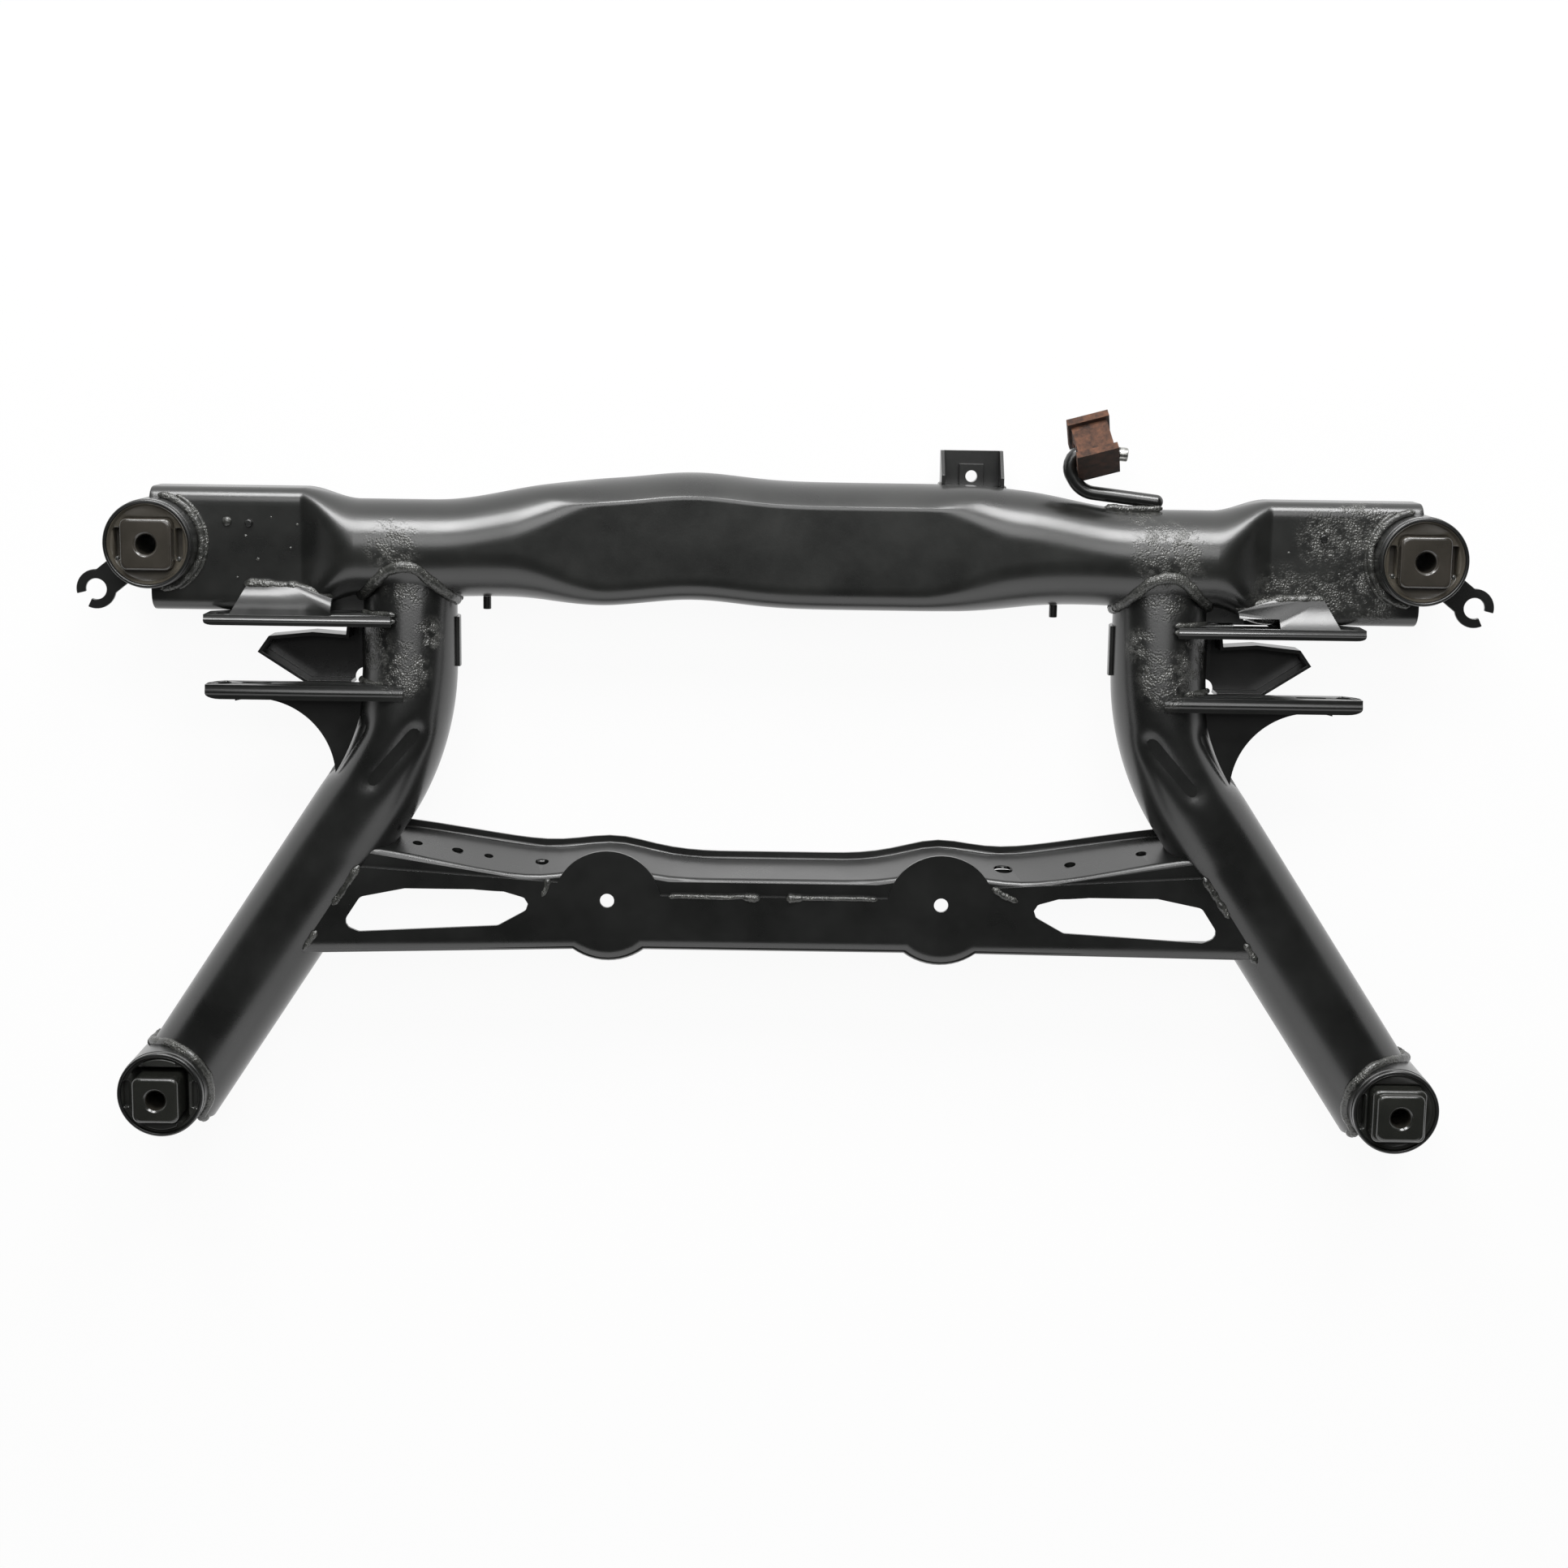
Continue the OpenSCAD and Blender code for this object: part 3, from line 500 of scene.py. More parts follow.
# body mounts: sleeve with a groove under its lip, rubber face and square core head, as rings stacked along the bolt
bush = dict(ring=96, rubberFoot=16, rearFace=5, frontFace=4, play=0.1, lip=1.6, lipIn=0.3, boreLip=1.2, footCut=2,
            headCorner=6, headFillet=2.6, chamfer=1.7, rearUnder=15, frontUnder=34, rearHole=22.0, rightHole=23.5,
            # half width of each shoulder of a core's head, and how far it lies below the top
            rearHead=[(21.9, 0)], leftHead=[(20, 0)], rightHead=[(20.6, 0), (23.4, 6)],
            # sleeve outline as steps in from its side and down from its rim
            sleeveLine=[(0, 12), (0, 7), (1.1, 6.4), (1.1, 5.4), (0.3, 4.8)],
            # gaps round the heads as half width, corner and depth
            rearGap=[(23.6, 8, 0), (23.0, 7.5, 1.2), (22.1, 6.5, 1.2)], leftGap=[(25, 6.5, 0), (24, 6, 1), (23.6, 6, 16)],
            rightGap=[(25.0, 8.5, 0), (24.4, 8, 1.5), (23.6, 7, 1.5)],
            # cuts in the rubber as distance from the bolt, width, length, depth and corner
            slot=(26, 7, 27, 20, 2.2), slotDown=4, notch=(30, 5, 24, 8, 1), rightNotch=(29, 5, 32, 22, 2),
            lug=(14, 25.6, 32), lugHigh=2.4, lugFoot=2)
rubberR = body["sleeveR"] - body["sleeveWall"] - bush["play"]


def roundLoop(x, y, r, z):
    turns = [2 * math.pi * (i + 0.5) / bush["ring"] for i in range(bush["ring"])]
    return [mm(x + r * math.cos(a), y + r * math.sin(a), z) for a in turns]


def squareLoop(x, y, half, corner, z):
    points = []
    for i in range(bush["ring"]):
        a = 2 * math.pi * (i + 0.5) / bush["ring"]
        reach = polarReach(half, half, corner, a)
        points.append(mm(x + reach * math.cos(a), y + reach * math.sin(a), z))
    return points


def filletSteps(size, steps=4):
    turns = [math.pi / 2 * i / steps for i in range(steps + 1)]
    return [(size * (1 - math.cos(a)), size * math.sin(a)) for a in turns]


def sleeveRing(x, y, name, rim):
    r, bore, foot, lip = body["sleeveR"], body["sleeveR"] - body["sleeveWall"], body["sleeveFoot"], bush["lip"]
    shape = [(r, foot + bush["footCut"])] + [(r - a, rim - b) for a, b in bush["sleeveLine"]]
    shape += [(r - bush["lipIn"] - a, rim - lip + b) for a, b in filletSteps(lip)]
    shape += [(bore + bush["boreLip"] - b, rim - a) for a, b in filletSteps(bush["boreLip"])]
    shape += [(bore, rim - 9), (bore, foot), (r - bush["footCut"], foot)]
    loops = [roundLoop(x, y, *p) for p in shape]
    addPiece(name + "_sleeve_ring", stackLoops(loops, True), paint, [name + "_sleeve"])


def coreHead(x, y, name, top, steps, under):
    bolt, cut, core = body["boltR"], bush["chamfer"], body["coreR"]
    # the hole's wall and chamfer, as steps out from the bolt and heights
    hole = [(0, 0), (0, top - 12), (0, top - cut - 0.5), (0.3, top - cut), (cut, top - 0.3), (cut + 0.7, top)]
    loops = [roundLoop(x, y, bolt + out, high) for out, high in hole]
    fillet, corner = bush["headFillet"], bush["headCorner"]
    loops += [squareLoop(x, y, steps[0][0] - 3.4, corner - 2, top)]
    for half, down in steps:
        loops += [squareLoop(x, y, half - fillet + b, corner, top - down - a) for a, b in filletSteps(fillet)]
    loops += [squareLoop(x, y, half, corner, under), roundLoop(x, y, core, under), roundLoop(x, y, core, 0)]
    bm = stackLoops(loops, True)
    # the bolt hole's wall below the chamfer takes the second material, the painted shade
    for f in bm.faces:
        away = f.calc_center_median() - mm(x, y, 0)
        f.material_index = int(away.xy.length < (bolt + 0.2) * 0.001 and away.z < (top - cut) * 0.001)
    mat = corePaint if y > 0 else frontCore
    obj = addPiece(name + "_core", bm, mat, [name + "_mount_core"])
    obj.data.materials.append(boltHoleShade)


def rubberFace(x, y, name, loops, under, hole, cutters):
    coreR, foot = body["coreR"] + 0.05, bush["rubberFoot"]
    loops = [roundLoop(x, y, rubberR, foot)] + loops + [squareLoop(x, y, hole, bush["headCorner"], under)]
    loops += [roundLoop(x, y, coreR, under), roundLoop(x, y, coreR, foot)]
    # rear rubber: dusty brown, and painted lighter against the shade in the sleeve
    mat = rearRubberDustAndLight if y > 0 else frontBush
    obj = addPiece(name + "_rubber", stackLoops(loops, True), mat, [name + "_mount_rubber"])
    cutBy(obj, cutters)


def lugPoints(x, y, turn):
    # crescent between a straight edge and the rim
    wide, low, r = bush["lug"]
    points = [(-wide, low), (wide, low)]
    for i in range(9):
        px = mix(wide, -wide, i / 8)
        points.append((px, math.sqrt(r * r - px * px)))
    return [(x + turn * px, y + turn * py) for px, py in points]


def rimLoops(x, y, rim, face):
    line = [(0, rim - 2.2), (0.8, rim - 1.9), (2.2, rim - face + 0.8), (3.0, rim - face)]
    return [roundLoop(x, y, rubberR - into, z) for into, z in line]


def gapLoops(x, y, face, line):
    return [squareLoop(x, y, half, corner, face - down) for half, corner, down in line]


for side, word in ((-1, "left"), (1, "right")):
    x, y, rim, top = side * body["mountX"], body["mountY"], body["rearRim"], body["rearTop"]
    face, under = rim - bush["rearFace"], top - bush["rearUnder"]
    sleeveRing(x, y, "rear_" + word, rim)
    coreHead(x, y, "rear_" + word, top, bush["rearHead"], under)
    at, *size = bush["slot"]
    slots = [boxCutter(x + s * at, y, face - bush["slotDown"], *size) for s in (-1, 1)]
    loops = rimLoops(x, y, rim, bush["rearFace"]) + gapLoops(x, y, face, bush["rearGap"])
    rubberFace(x, y, "rear_" + word, loops, under, bush["rearHole"], slots)
    y, rim, top = -y, body["frontRim"], body["frontTop"]
    face, under = rim - bush["frontFace"], top - bush["frontUnder"]
    sleeveRing(x, y, "front_" + word, rim)
    coreHead(x, y, "front_" + word, top, bush[word + "Head"], under)
    loops = rimLoops(x, y, rim, bush["frontFace"]) + gapLoops(x, y, face, bush[word + "Gap"])
    if side < 0:
        # deep square well with a notch at each side and a lug above and below it
        at, *size = bush["notch"]
        notches = [boxCutter(x + s * at, y, face, *size) for s in (-1, 1)]
        rubberFace(x, y, "front_left", loops, face - bush["leftGap"][-1][2], body["coreR"] + 2, notches)
        for turn, name in ((1, "upper"), (-1, "lower")):
            ends = (face - bush["lugFoot"], face + bush["lugHigh"])
            bm = stackLoops([[mm(*p, z) for p in lugPoints(x, y, turn)] for z in ends])
            edges = [e for e in bm.edges if all(v.co.z > (face + 1) * 0.001 for v in e.verts)]
            bevelEdges(bm, edges, 1.0, 3)
            addPiece("front_left_" + name + "_lug", bm, frontBush)
    else:
        # flat face, a head with two shoulders and one gap towards the leg
        at, *size = bush["rightNotch"]
        rubberFace(x, y, "front_right", loops, under, bush["rightHole"], [boxCutter(x - at, y, face, *size)])
print("body mounts made")


# pressed and cut plates: the CAD shapes with their edges rounded as rolled sheet
press = dict(drainZ=50, drains=[(-320.3, 9), (-285.2, 10), (-257.8, 8), (-211, 12), (195.3, 17), (253.9, 10), (316.4, 10)],
             cupAside=0.8, cupR=0.58, cupDeep=12, cupBack=7.5, linkEdge=0.9, lipZ=95, lip=2.2,
             lipWide=dict(rear=(172, 181), front=(108.5, 121)), lipCrown=1.2, lipCuts=8, tip=5,
             web=(372, 192, 60, 46, 20, 3), webEdge=0.8, trayEdge=1.6, saddleEdge=0.5, hookEdge=0.9, plateEdge=0.8,
             roll=12.5, rollFrom=-100)


def cadCopy(node):
    bm = bmesh.new()
    bm.from_mesh(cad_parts[node].data)
    bmesh.ops.remove_doubles(bm, verts=bm.verts, dist=2e-6)
    bmesh.ops.dissolve_limit(bm, angle_limit=math.radians(1.0), verts=bm.verts, edges=bm.edges)
    return bm


def softenEdges(bm, size, segments=2, angle=30):
    edges = [e for e in bm.edges if len(e.link_faces) == 2 and e.calc_face_angle(0) > math.radians(angle)]
    bevelEdges(bm, edges, size, segments)
    return bm


def crownLip(bm, low, high):
    # the lip is rolled, so its top swells between its two edges
    floor = (press["lipZ"] - 0.3) * 0.001
    for i in range(1, press["lipCuts"]):
        top = [f for f in bm.faces if all(v.co.z > floor for v in f.verts)]
        parts = set(top) | set(e for f in top for e in f.edges) | set(v for f in top for v in f.verts)
        at = mm(0, mix(low, high, i / press["lipCuts"]), 0)
        bmesh.ops.bisect_plane(bm, geom=list(parts), plane_co=at, plane_no=Vector((0, 1, 0)))
    for v in bm.verts:
        if v.co.z > floor:
            t = min(1, abs((v.co.y * 2000 - low - high) / (high - low)))
            v.co.z += press["lipCrown"] * 0.0005 * (1 + math.cos(math.pi * t))


for side, word in ((-1, "left"), (1, "right")):
    # link plates: lips rolled over along the top, tips rounded, and a web that closes the corner by the neck
    for end in ("rear", "front"):
        bm = cadCopy(word + "_" + end + "_link_bracket")
        tip = max(abs(v.co.x) for v in bm.verts)
        lipZ = press["lipZ"] * 0.001
        tips = [e for e in bm.edges if all(abs(v.co.x) > tip - 0.0105 and v.co.z > lipZ - 0.006 for v in e.verts)
                and abs(e.verts[0].co.z - e.verts[1].co.z) > 0.002]
        bevelEdges(bm, tips, press["tip"], 5)
        floor = (press["lipZ"] - 0.3) * 0.001
        lips = [e for e in bm.edges if len(e.link_faces) == 2 and all(v.co.z > floor for v in e.verts)
                and e.calc_face_angle(0) > math.radians(30)]
        bevelEdges(bm, lips, press["lip"], 4)
        low, high = press["lipWide"][end]
        crownLip(bm, low + press["lip"], high - press["lip"])
        softenEdges(bm, press["linkEdge"])
        if end == "rear":
            x, y, z, wide, long, deep = press["web"]
            at = Matrix.Translation(mm(side * x, y, z)) @ Matrix.Diagonal((wide, long, deep, 1))
            made = bmesh.ops.create_cube(bm, size=0.001, matrix=at)["verts"]
            bevelEdges(bm, list(set(e for v in made for e in v.link_edges)), press["webEdge"], 2)
        addPiece(word + "_" + end + "_link_plate", bm, paint, [word + "_" + end + "_link_bracket"])
    for kind, piece, size in (("inner_link_bracket", "inner_tray", press["trayEdge"]),
                              ("rail_saddle", "saddle_shell", press["saddleEdge"]),
                              ("cable_hook", "cable_clip", press["hookEdge"])):
        node = word + "_" + kind
        addPiece(word + "_" + piece, softenEdges(cadCopy(node), size), paint, [node])
# the plate's lower edge is rolled over into its wall
bm = cadCopy("crossmember_plate")
high, low = (body["plateZ"] - 0.05) * 0.001, press["rollFrom"] * 0.001
edges = [e for e in bm.edges if len(e.link_faces) == 2 and all(v.co.z > high and v.co.y < low for v in e.verts)
         and min(f.normal.y for f in e.link_faces) < -0.3 and max(f.normal.z for f in e.link_faces) > 0.9]
print("rolled edges:", len(edges))
bevelEdges(bm, edges, press["roll"], 7, False)
addPiece("crossmember_face", softenEdges(bm, press["plateEdge"]), paint, ["crossmember_plate"])
# behind the drain holes the closed box shows dark, so each hole gets a blind cup
bm = cadCopy("crossmember_shell")
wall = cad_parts["crossmember_shell"]
for x, size in press["drains"]:
    aside = press["cupAside"] * size
    hit, place, lean, _ = wall.ray_cast(mm(x + aside, 60, press["drainZ"]), Vector((0, -1, 0)))
    if hit:
        y = place.y + (lean.x / lean.y * aside - press["cupBack"]) * 0.001
        at = Matrix.Translation(Vector((x * 0.001, y, press["drainZ"] * 0.001))) @ Matrix.Rotation(math.pi / 2, 4, "X")
        cupR = size * press["cupR"] * 0.001
        made = bmesh.ops.create_cone(bm, cap_ends=True, segments=32, radius1=cupR, radius2=cupR,
                                     depth=press["cupDeep"] * 0.001, matrix=at)["verts"]
        around = set(f for v in made for f in v.link_faces)
        front = [f for f in around if f.normal.y > 0.9 and all(v in made for v in f.verts)]
        bmesh.ops.delete(bm, geom=front, context="FACES_ONLY")
        bmesh.ops.reverse_faces(bm, faces=list(set(f for v in made for f in v.link_faces)))
addPiece("crossmember_wall", bm, paint, ["crossmember_shell"], 40)
# small parts as piece, node, rounding and its segments
smallParts = [("harness_ears", "harness_bracket", 0.6, 2), ("square_nut", "harness_nut", 1.6, 4)]
for word in ("left", "right"):
    smallParts += [(word + "_clip_pin", word + "_clip_stud", 0.6, 2), (word + "_earth_pin", word + "_earth_stud", 1.2, 2)]
for piece, node, size, segments in smallParts:
    addPiece(piece, softenEdges(cadCopy(node), size, segments), paint, [node])
print("plates made")

# hanger: painted rod bent round a former, with a domed foot and a bright cut end, and a rusty pad with a dark front
# face
hanger = dict(line=[(323, 284.3), (252, 293), (230, 330), (291, 324.5)], bends=(22, 14), rodR=6, rodZ=52, sides=32,
              domeSteps=6, bright=7, endCut=0.8, endReach=12, padEdge=1.2, padFront=(0.215, -0.80, 0.559))


def bentLine(points, bends, steps=12):
    # straight runs joined by round bends
    points = [Vector(p) for p in points]
    out = [points[0]]
    for before, at, after, r in zip(points, points[1:], points[2:], bends):
        a, b = (before - at).normalized(), (after - at).normalized()
        turn = math.acos(a.dot(b)) / 2
        middle = at + (a + b).normalized() * r / math.sin(turn)
        start, stop = at + a * r / math.tan(turn) - middle, at + b * r / math.tan(turn) - middle
        out += [middle + start.lerp(stop, i / steps).normalized() * r for i in range(steps + 1)]
    return out + [points[-1]]


def rodLoop(p, along, r):
    sideways = Vector((-along.y, along.x))
    out = []
    for i in range(hanger["sides"]):
        a = 2 * math.pi * i / hanger["sides"]
        q = p + sideways * r * math.cos(a)
        out.append(mm(q.x, q.y, hanger["rodZ"] + r * math.sin(a)))
    return out


spine = bentLine(hanger["line"], hanger["bends"])
rodR, along = hanger["rodR"], (spine[1] - spine[0]).normalized()
loops = []
for i in range(1, hanger["domeSteps"] + 1):
    a = math.pi / 2 * i / hanger["domeSteps"]
    loops.append(rodLoop(spine[0] + along * rodR * (1 - math.cos(a)), along, rodR * math.sin(a)))
for before, p, after in zip(spine, spine[1:], spine[2:]):
    loops.append(rodLoop(p, (after - before).normalized(), rodR))
along = (spine[-1] - spine[-2]).normalized()
for back, into in ((hanger["bright"], 0), (hanger["endCut"], 0), (0, hanger["endCut"])):
    loops.append(rodLoop(spine[-1] - along * back, along, rodR - into))
bm = stackLoops(loops)
cut, aim = mm(*spine[-1], hanger["rodZ"]) - mm(*along, 0) * hanger["bright"], Vector((*along, 0))
for f in bm.faces:
    centre = f.calc_center_median()
    f.material_index = int((centre - cut).dot(aim) > 0 and (centre - cut).length < hanger["endReach"] * 0.001)
rod = addPiece("hanger_bar", bm, paint, ["hanger_rod"], 50)
rod.data.materials.append(rubbedSteel)
bm = softenEdges(cadCopy("hanger_block"), hanger["padEdge"], 3)
bm.normal_update()
# the face that points forward and up takes the nearly black rubber colour
for f in bm.faces:
    f.material_index = int(f.normal.dot(Vector(hanger["padFront"])) > 0.9)
pad = addPiece("hanger_pad", bm, rustRubber, ["hanger_block"])
pad.data.materials.append(darkFrontFaceRubber)
print("hanger made")

# weld beads: a rope of small ripples laid along each joint
bead = dict(sides=12, step=1.5, ripple=3.6, wave=0.05, lump=0.14, lumpLong=7, sway=0.3, swayLong=14, flat=0.85,
            taper=(0.35, 1.5), arch=(13, 55))


def weldBead(name, points, r, lump=None):
    points = [Vector(p) for p in points]
    lengths = [0.0]
    for a, b in zip(points, points[1:]):
        lengths.append(lengths[-1] + (b - a).length)
    total = lengths[-1]
    steps = max(6, round(total / bead["step"]))
    spine = []
    k = 0
    for i in range(steps + 1):
        want = total * i / steps
        while k < len(points) - 2 and lengths[k + 1] < want:
            k += 1
        t = (want - lengths[k]) / max(1e-9, lengths[k + 1] - lengths[k])
        spine.append(points[k].lerp(points[k + 1], min(1, max(0, t))))
    loops = []
    seed = random.random() * 50
    for i, p in enumerate(spine):
        d = (spine[min(i + 1, steps)] - spine[max(i - 1, 0)]).normalized()
        u = d.orthogonal().normalized() if abs(d.z) > 0.9 else d.cross(Vector((0, 0, 1))).normalized()
        w = u.cross(d)
        s = total * i / steps
        lumpy = (lump or bead["lump"]) * noise.noise(Vector((s / bead["lumpLong"], seed, 0)))
        wave = 1 + bead["wave"] * math.cos(2 * math.pi * s / bead["ripple"]) + lumpy
        thin, run = bead["taper"]
        taper = min(1, thin + s / (r * run), thin + (total - s) / (r * run))
        sway = bead["sway"] * r * noise.noise(Vector((s / bead["swayLong"], seed, 7)))
        loop = []
        for j in range(bead["sides"]):
            a = 2 * math.pi * j / bead["sides"]
            q = p + u * (r * wave * taper * math.cos(a) + sway) + w * (r * bead["flat"] * wave * taper * math.sin(a))
            loop.append(mm(*q))
        loops.append(loop)
    addPiece(name, stackLoops(loops), weldPaint, (), 60)


def arcPoints(side, centre, r, z, start, stop, steps=60):
    out = []
    for i in range(steps + 1):
        a = math.radians(mix(start, stop, i / steps))
        out.append((side * (centre[0] + r * math.cos(a)), centre[1] + r * math.sin(a), z))
    return out


def roundRail(side, y, start, stop, lift=0.5, steps=40):
    # line round the rail at one y, from one angle to another above its outer side
    x, reach = body["railX"], body["railR"] + lift
    if y <= bendY:
        x = body["railX"] + body["bendR"] - math.sqrt(body["bendR"] ** 2 - (bendY - y) ** 2)
    out = []
    for i in range(steps + 1):
        a = math.radians(mix(start, stop, i / steps))
        out.append((side * (x + reach * math.cos(a)), y, body["axisZ"] + reach * math.sin(a)))
    return out


def alongLeg(side, z, start, stop, lift=0.5):
    # line along the inner side of the leg at one height
    off = math.sqrt((body["railR"] + lift) ** 2 - (z - body["axisZ"]) ** 2) / math.cos(legAngle)
    return [(side * (legX(y) - off), y, z) for y in (start, mix(start, stop, 0.5), stop)]


for side, word in ((-1, "left"), (1, "right")):
    # rounded arch where rail and neck meet, lower at its peak than the sharp line of two tubes
    saddle = []
    for i in range(121):
        a = math.radians(-50 + 280 * i / 120)
        across, z = body["railR"] * math.cos(a), body["railR"] * math.sin(a)
        drop = math.sqrt(tube["neckR"] ** 2 - z * z)
        if z > 0:
            drop = max(drop, bead["arch"][0] + across * across / bead["arch"][1])
        saddle.append((side * (body["railX"] + across), tube["neckY"] - drop, body["axisZ"] + z))
    weldBead(word + "_saddle_weld", saddle, r=5.0)
    mount, sleeveR = (body["mountX"], body["mountY"]), body["sleeveR"]
    boxZ, backZ = tube["endZ"] + tube["endDeep"], tube["endZ"] - tube["endDeep"]
    weldBead(word + "_rear_sleeve_weld", arcPoints(side, mount, sleeveR + 2.4, boxZ + 1.5, 96, 264), r=3.4)
    weldBead(word + "_rear_sleeve_outer_weld", arcPoints(side, mount, sleeveR + 6.2, boxZ, 116, 244), r=2.2)
    weldBead(word + "_rear_sleeve_back_weld", arcPoints(side, mount, sleeveR + 2, backZ, 84, 276), r=4.2)
    last = railPath()[-1][0]
    foot = []
    for i in range(121):
        a = math.radians(-25 + 180 * i / 120)
        p = last + Vector((-legDir.y, legDir.x)) * (body["railR"] + 0.5) * math.cos(a)
        p = p + legDir * (footReach(p) - 1.5)
        foot.append((side * p.x, p.y, body["axisZ"] + (body["railR"] + 0.5) * math.sin(a)))
    weldBead(word + "_front_sleeve_weld", foot, r=4.6, lump=0.08)
    # link plates to the rail, and the tab to the box
    weldBead(word + "_rear_plate_weld", roundRail(side, body["rearPlateY"] - body["plate"] - 1, 80, 5), r=2.8)
    weldBead(word + "_rear_plate_back_weld", roundRail(side, body["rearPlateY"] + 1, 80, 25), r=2.6)
    weldBead(word + "_front_plate_weld", roundRail(side, body["frontPlateY"] + 1, 100, 5), r=3.4, lump=0.35)
    tabLine = [(side * 386, 195.5, boxZ + 2.5), (side * 425, 203.5, boxZ + 3), (side * 464, 204, boxZ + 2.5)]
    weldBead(word + "_tab_weld", tabLine, r=4.4, lump=0.3)
    # crossmember to the leg, in two runs with a gap at the window
    weldBead(word + "_crossmember_weld_upper", alongLeg(side, body["plateZ"] - 1, -38, -74), r=3.2, lump=0.4)
    weldBead(word + "_crossmember_weld_lower", alongLeg(side, body["plateZ"] - 1, -96, -114), r=3.0, lump=0.4)
# short runs as piece, line, radius and lump
seamY, seamZ = -61.5, body["plateZ"] - 0.6
runs = [("crossmember_seam_left", [(-98, seamY, seamZ), (-18, seamY, seamZ)], 2.0, 0.1),
        ("crossmember_seam_right", [(4, seamY, seamZ), (84, seamY, seamZ)], 2.0, 0.1),
        ("crossmember_seam_left_end", [(-34, seamY, seamZ), (-18, seamY - 0.5, seamZ)], 3.6, 0.5),
        ("crossmember_seam_right_end", [(4, seamY - 0.5, seamZ), (20, seamY, seamZ)], 3.6, 0.5),
        ("left_pad_weld", [(-203, -47, seamZ), (-205, -56, seamZ), (-208, -63, seamZ)], 2.6, 0.4),
        ("right_pad_weld", [(184, -50, seamZ), (194, -57, seamZ), (206, -62, seamZ)], 3.0, 0.4),
        ("hanger_weld", [(272, 279.5, 58), (300, 279, 58), (322, 279, 57)], 3.0, 0.4)]
for x, name in ((133, "inner"), (187, "outer")):
    y, z, half, deep, corner = tubeSection(x)
    runs.append(("harness_" + name + "_weld", [(x, y + half - 1, 20), (x, y + half - 1, 42)], 2.4, 0.4))
for run in runs:
    weldBead(*run)
print("welds made")

# spatter and paint nibs: small flattened drops on the box faces and in the corners of the bush slots
nibs = dict(spots=[(-478, 258, 67, 4.2), (-452, 226, 67, 1.6), (-462, 246, 67, 1.2), (-418, 256, 67, 1.4),
                   (-424, 236, 67, 1.2), (-440, 262, 67, 1.0), (-470, 210, 67, 1.3), (462, 262, 67, 3.4),
                   (430, 244, 67, 1.4), (474, 226, 67, 1.4), (446, 236, 67, 1.1)],
            slotAt=(26, 12.6), slotSize=2.0, lump=0.25, lumpScale=600, flat=0.6)
spots = list(nibs["spots"])
slotX, slotY = nibs["slotAt"]
for side in (-1, 1):
    for s in (-1, 1):
        spots.append((side * body["mountX"] + s * slotX, body["mountY"] - slotY, body["rearRim"] - bush["rearFace"],
                      nibs["slotSize"]))
bm = bmesh.new()
for x, y, z, r in spots:
    made = bmesh.ops.create_icosphere(bm, subdivisions=2, radius=r * 0.001)["verts"]
    for v in made:
        v.co *= 1 + nibs["lump"] * noise.noise(v.co * nibs["lumpScale"] + Vector((x, y, 0)))
        v.co.z *= nibs["flat"]
    bmesh.ops.translate(bm, verts=made, vec=mm(x, y, z))
addPiece("paint_nibs", bm, weldPaint, (), 60)
print("nibs made")

# white paper floor with a low wall round it, seen as even white, in metres
stage = dict(floorSize=9, wallHigh=2, drop=0.002, floorColour="#f4f4f3", floorRough=0.9, white=0.94, world=0.05)
floorMesh = bmesh.new()
bmesh.ops.create_grid(floorMesh, x_segments=1, y_segments=1, size=stage["floorSize"])
bmesh.ops.create_cone(floorMesh, cap_ends=False, segments=96, radius1=stage["floorSize"], radius2=stage["floorSize"],
                      depth=stage["wallHigh"], matrix=Matrix.Translation((0, 0, stage["wallHigh"] / 2)))
mesh = bpy.data.meshes.new("floor")
floorMesh.to_mesh(mesh)
floorMesh.free()
floor = bpy.data.objects.new("floor", mesh)
floor.location.z = -stage["drop"]
bpy.context.scene.collection.objects.link(floor)
mat = bpy.data.materials.new("white_paper_floor")
mat.use_nodes = True
tree = mat.node_tree
shader = tree.nodes["Principled BSDF"]
shader.inputs["Base Color"].default_value = hexColour(stage["floorColour"])
shader.inputs["Roughness"].default_value = stage["floorRough"]
shader.inputs["Specular IOR Level"].default_value = 0.0
rays = addNode(tree, "ShaderNodeLightPath")
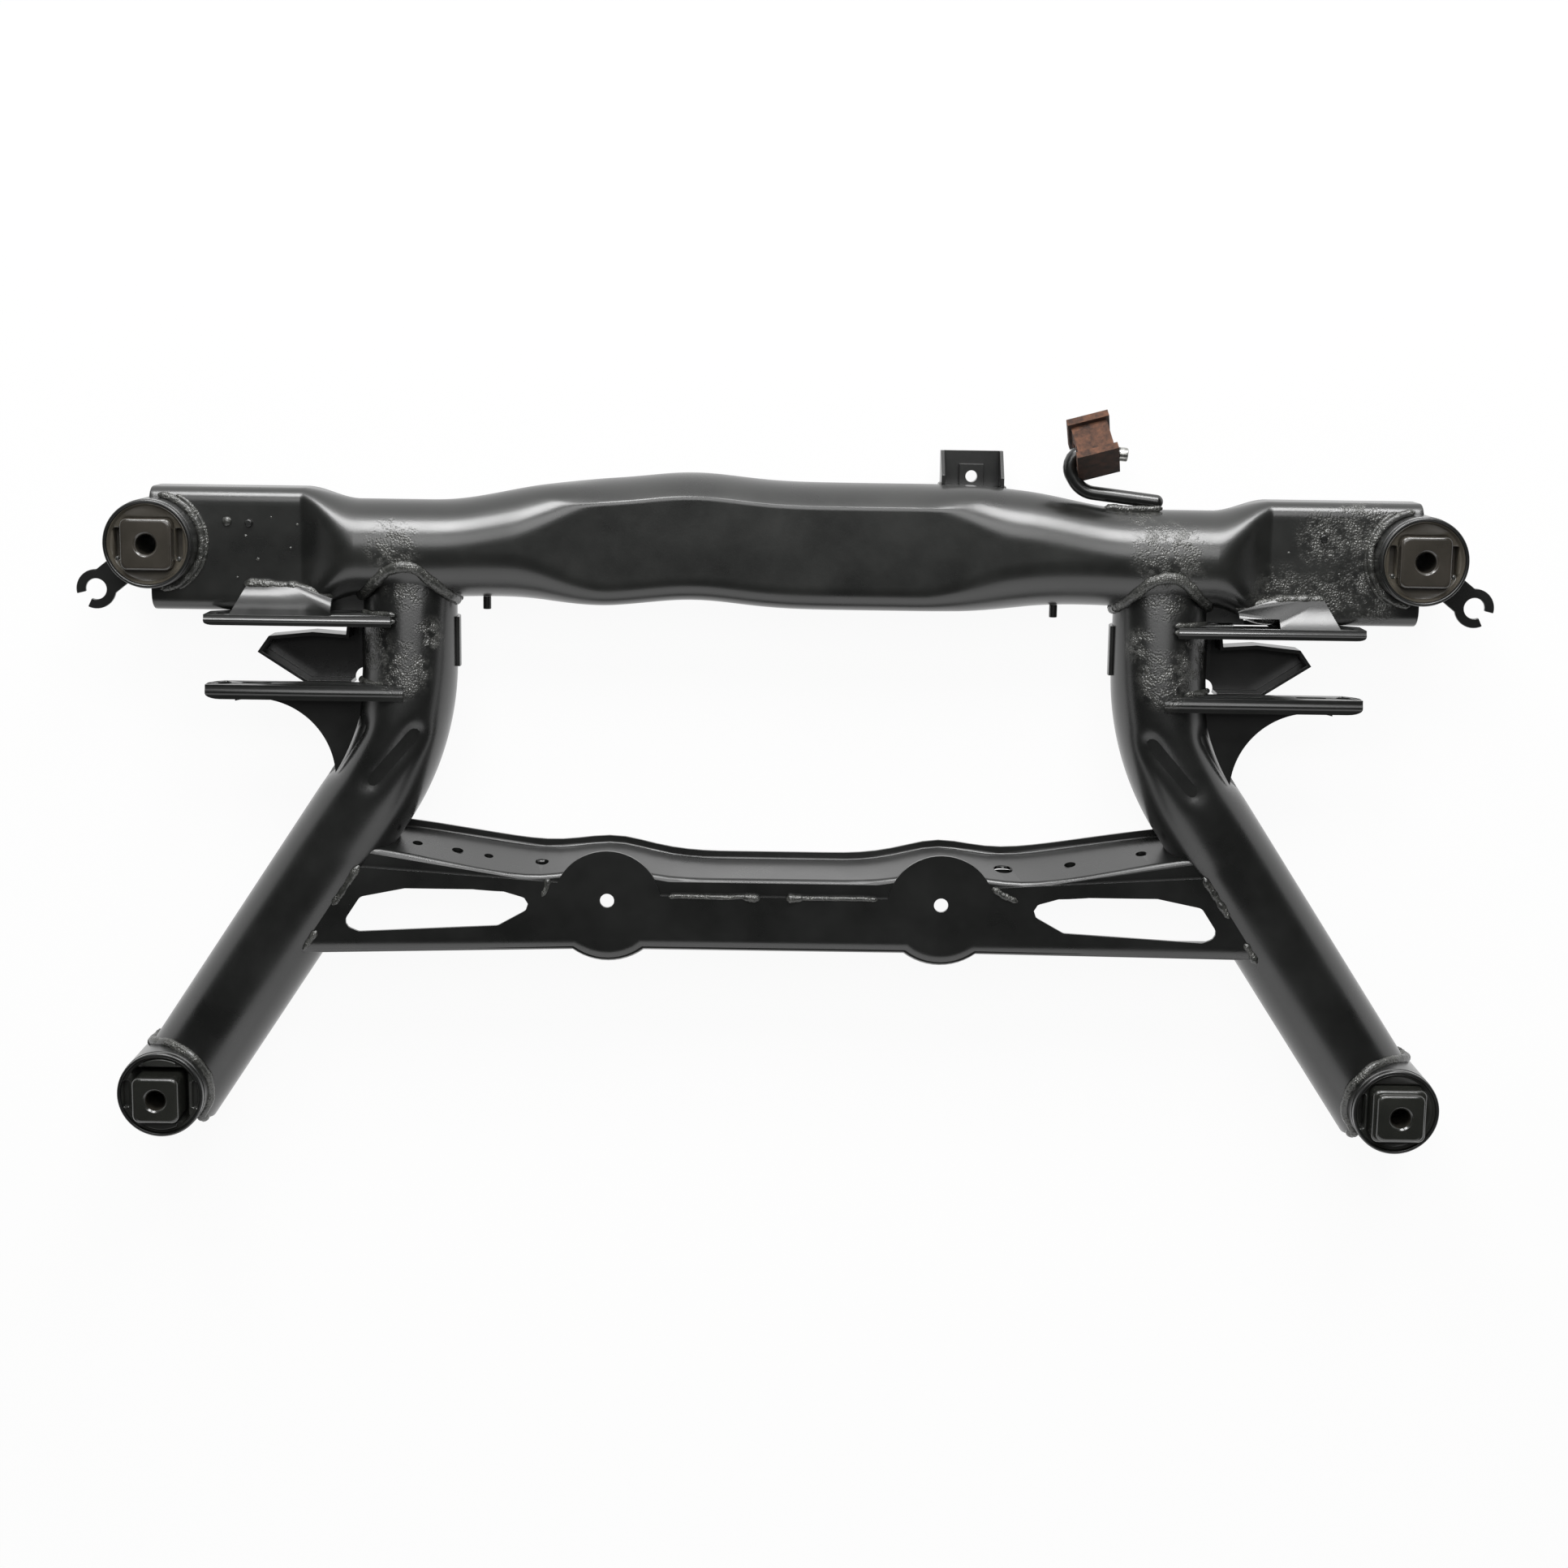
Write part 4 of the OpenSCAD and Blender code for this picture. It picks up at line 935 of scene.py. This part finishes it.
glow = addNode(tree, "ShaderNodeEmission", {"Color": (1, 1, 1, 1), "Strength": 1.0})
seen = rays.outputs["Is Camera Ray"]
for kind in ("Is Glossy Ray", "Is Transmission Ray"):
    seen = addNode(tree, "ShaderNodeMath", None, {0: seen, 1: rays.outputs[kind]}, operation="MAXIMUM").outputs[0]
share = addNode(tree, "ShaderNodeMath", {1: stage["white"]}, {0: seen}, operation="MULTIPLY")
blend = addNode(tree, "ShaderNodeMixShader", None, {0: share.outputs[0], 1: shader.outputs[0], 2: glow.outputs[0]})
tree.links.new(blend.outputs[0], tree.nodes["Material Output"].inputs["Surface"])
floor.data.materials.append(mat)

# lamps: two soft boxes before a lit backdrop, a scrim above and a fill in front, in metres and watts
lamps = {
    "softbox_left": dict(place=(-0.75, 2.4, 1.5), aim=(0, 0.1, 0.05), size=(0.95, 1.2), power=43),
    "softbox_right": dict(place=(0.75, 2.4, 1.5), aim=(0, 0.1, 0.05), size=(0.95, 1.2), power=43),
    "backdrop": dict(place=(0, 3.1, 1.5), aim=(0, 0.1, 0.2), size=(3.6, 2.4), power=24),
    "overhead_scrim": dict(place=(0, 1.15, 2.4), aim=(0, 0.15, 0), size=(2.2, 1.05), power=22),
    "fill_panel": dict(place=(0, -2.4, 1.5), aim=(0, -0.1, 0), size=(4.0, 1.8), power=25),
}


def addLamp(name, place, aim, size, power):
    lamp = bpy.data.lights.new(name, "AREA")
    lamp.shape = "RECTANGLE"
    lamp.size, lamp.size_y = size
    lamp.energy = power
    obj = bpy.data.objects.new(name, lamp)
    obj.location = place
    obj.rotation_euler = (Vector(aim) - Vector(place)).to_track_quat("-Z", "Y").to_euler()
    obj.visible_camera = False
    bpy.context.scene.collection.objects.link(obj)


for name, look in lamps.items():
    addLamp(name, **look)
world = bpy.data.worlds.new("studio")
bpy.context.scene.world = world
world.use_nodes = True
world.node_tree.nodes["Background"].inputs["Color"].default_value = (1, 1, 1, 1)
world.node_tree.nodes["Background"].inputs["Strength"].default_value = stage["world"]
bpy.context.scene.view_settings.view_transform = "Standard"
print("stage made")
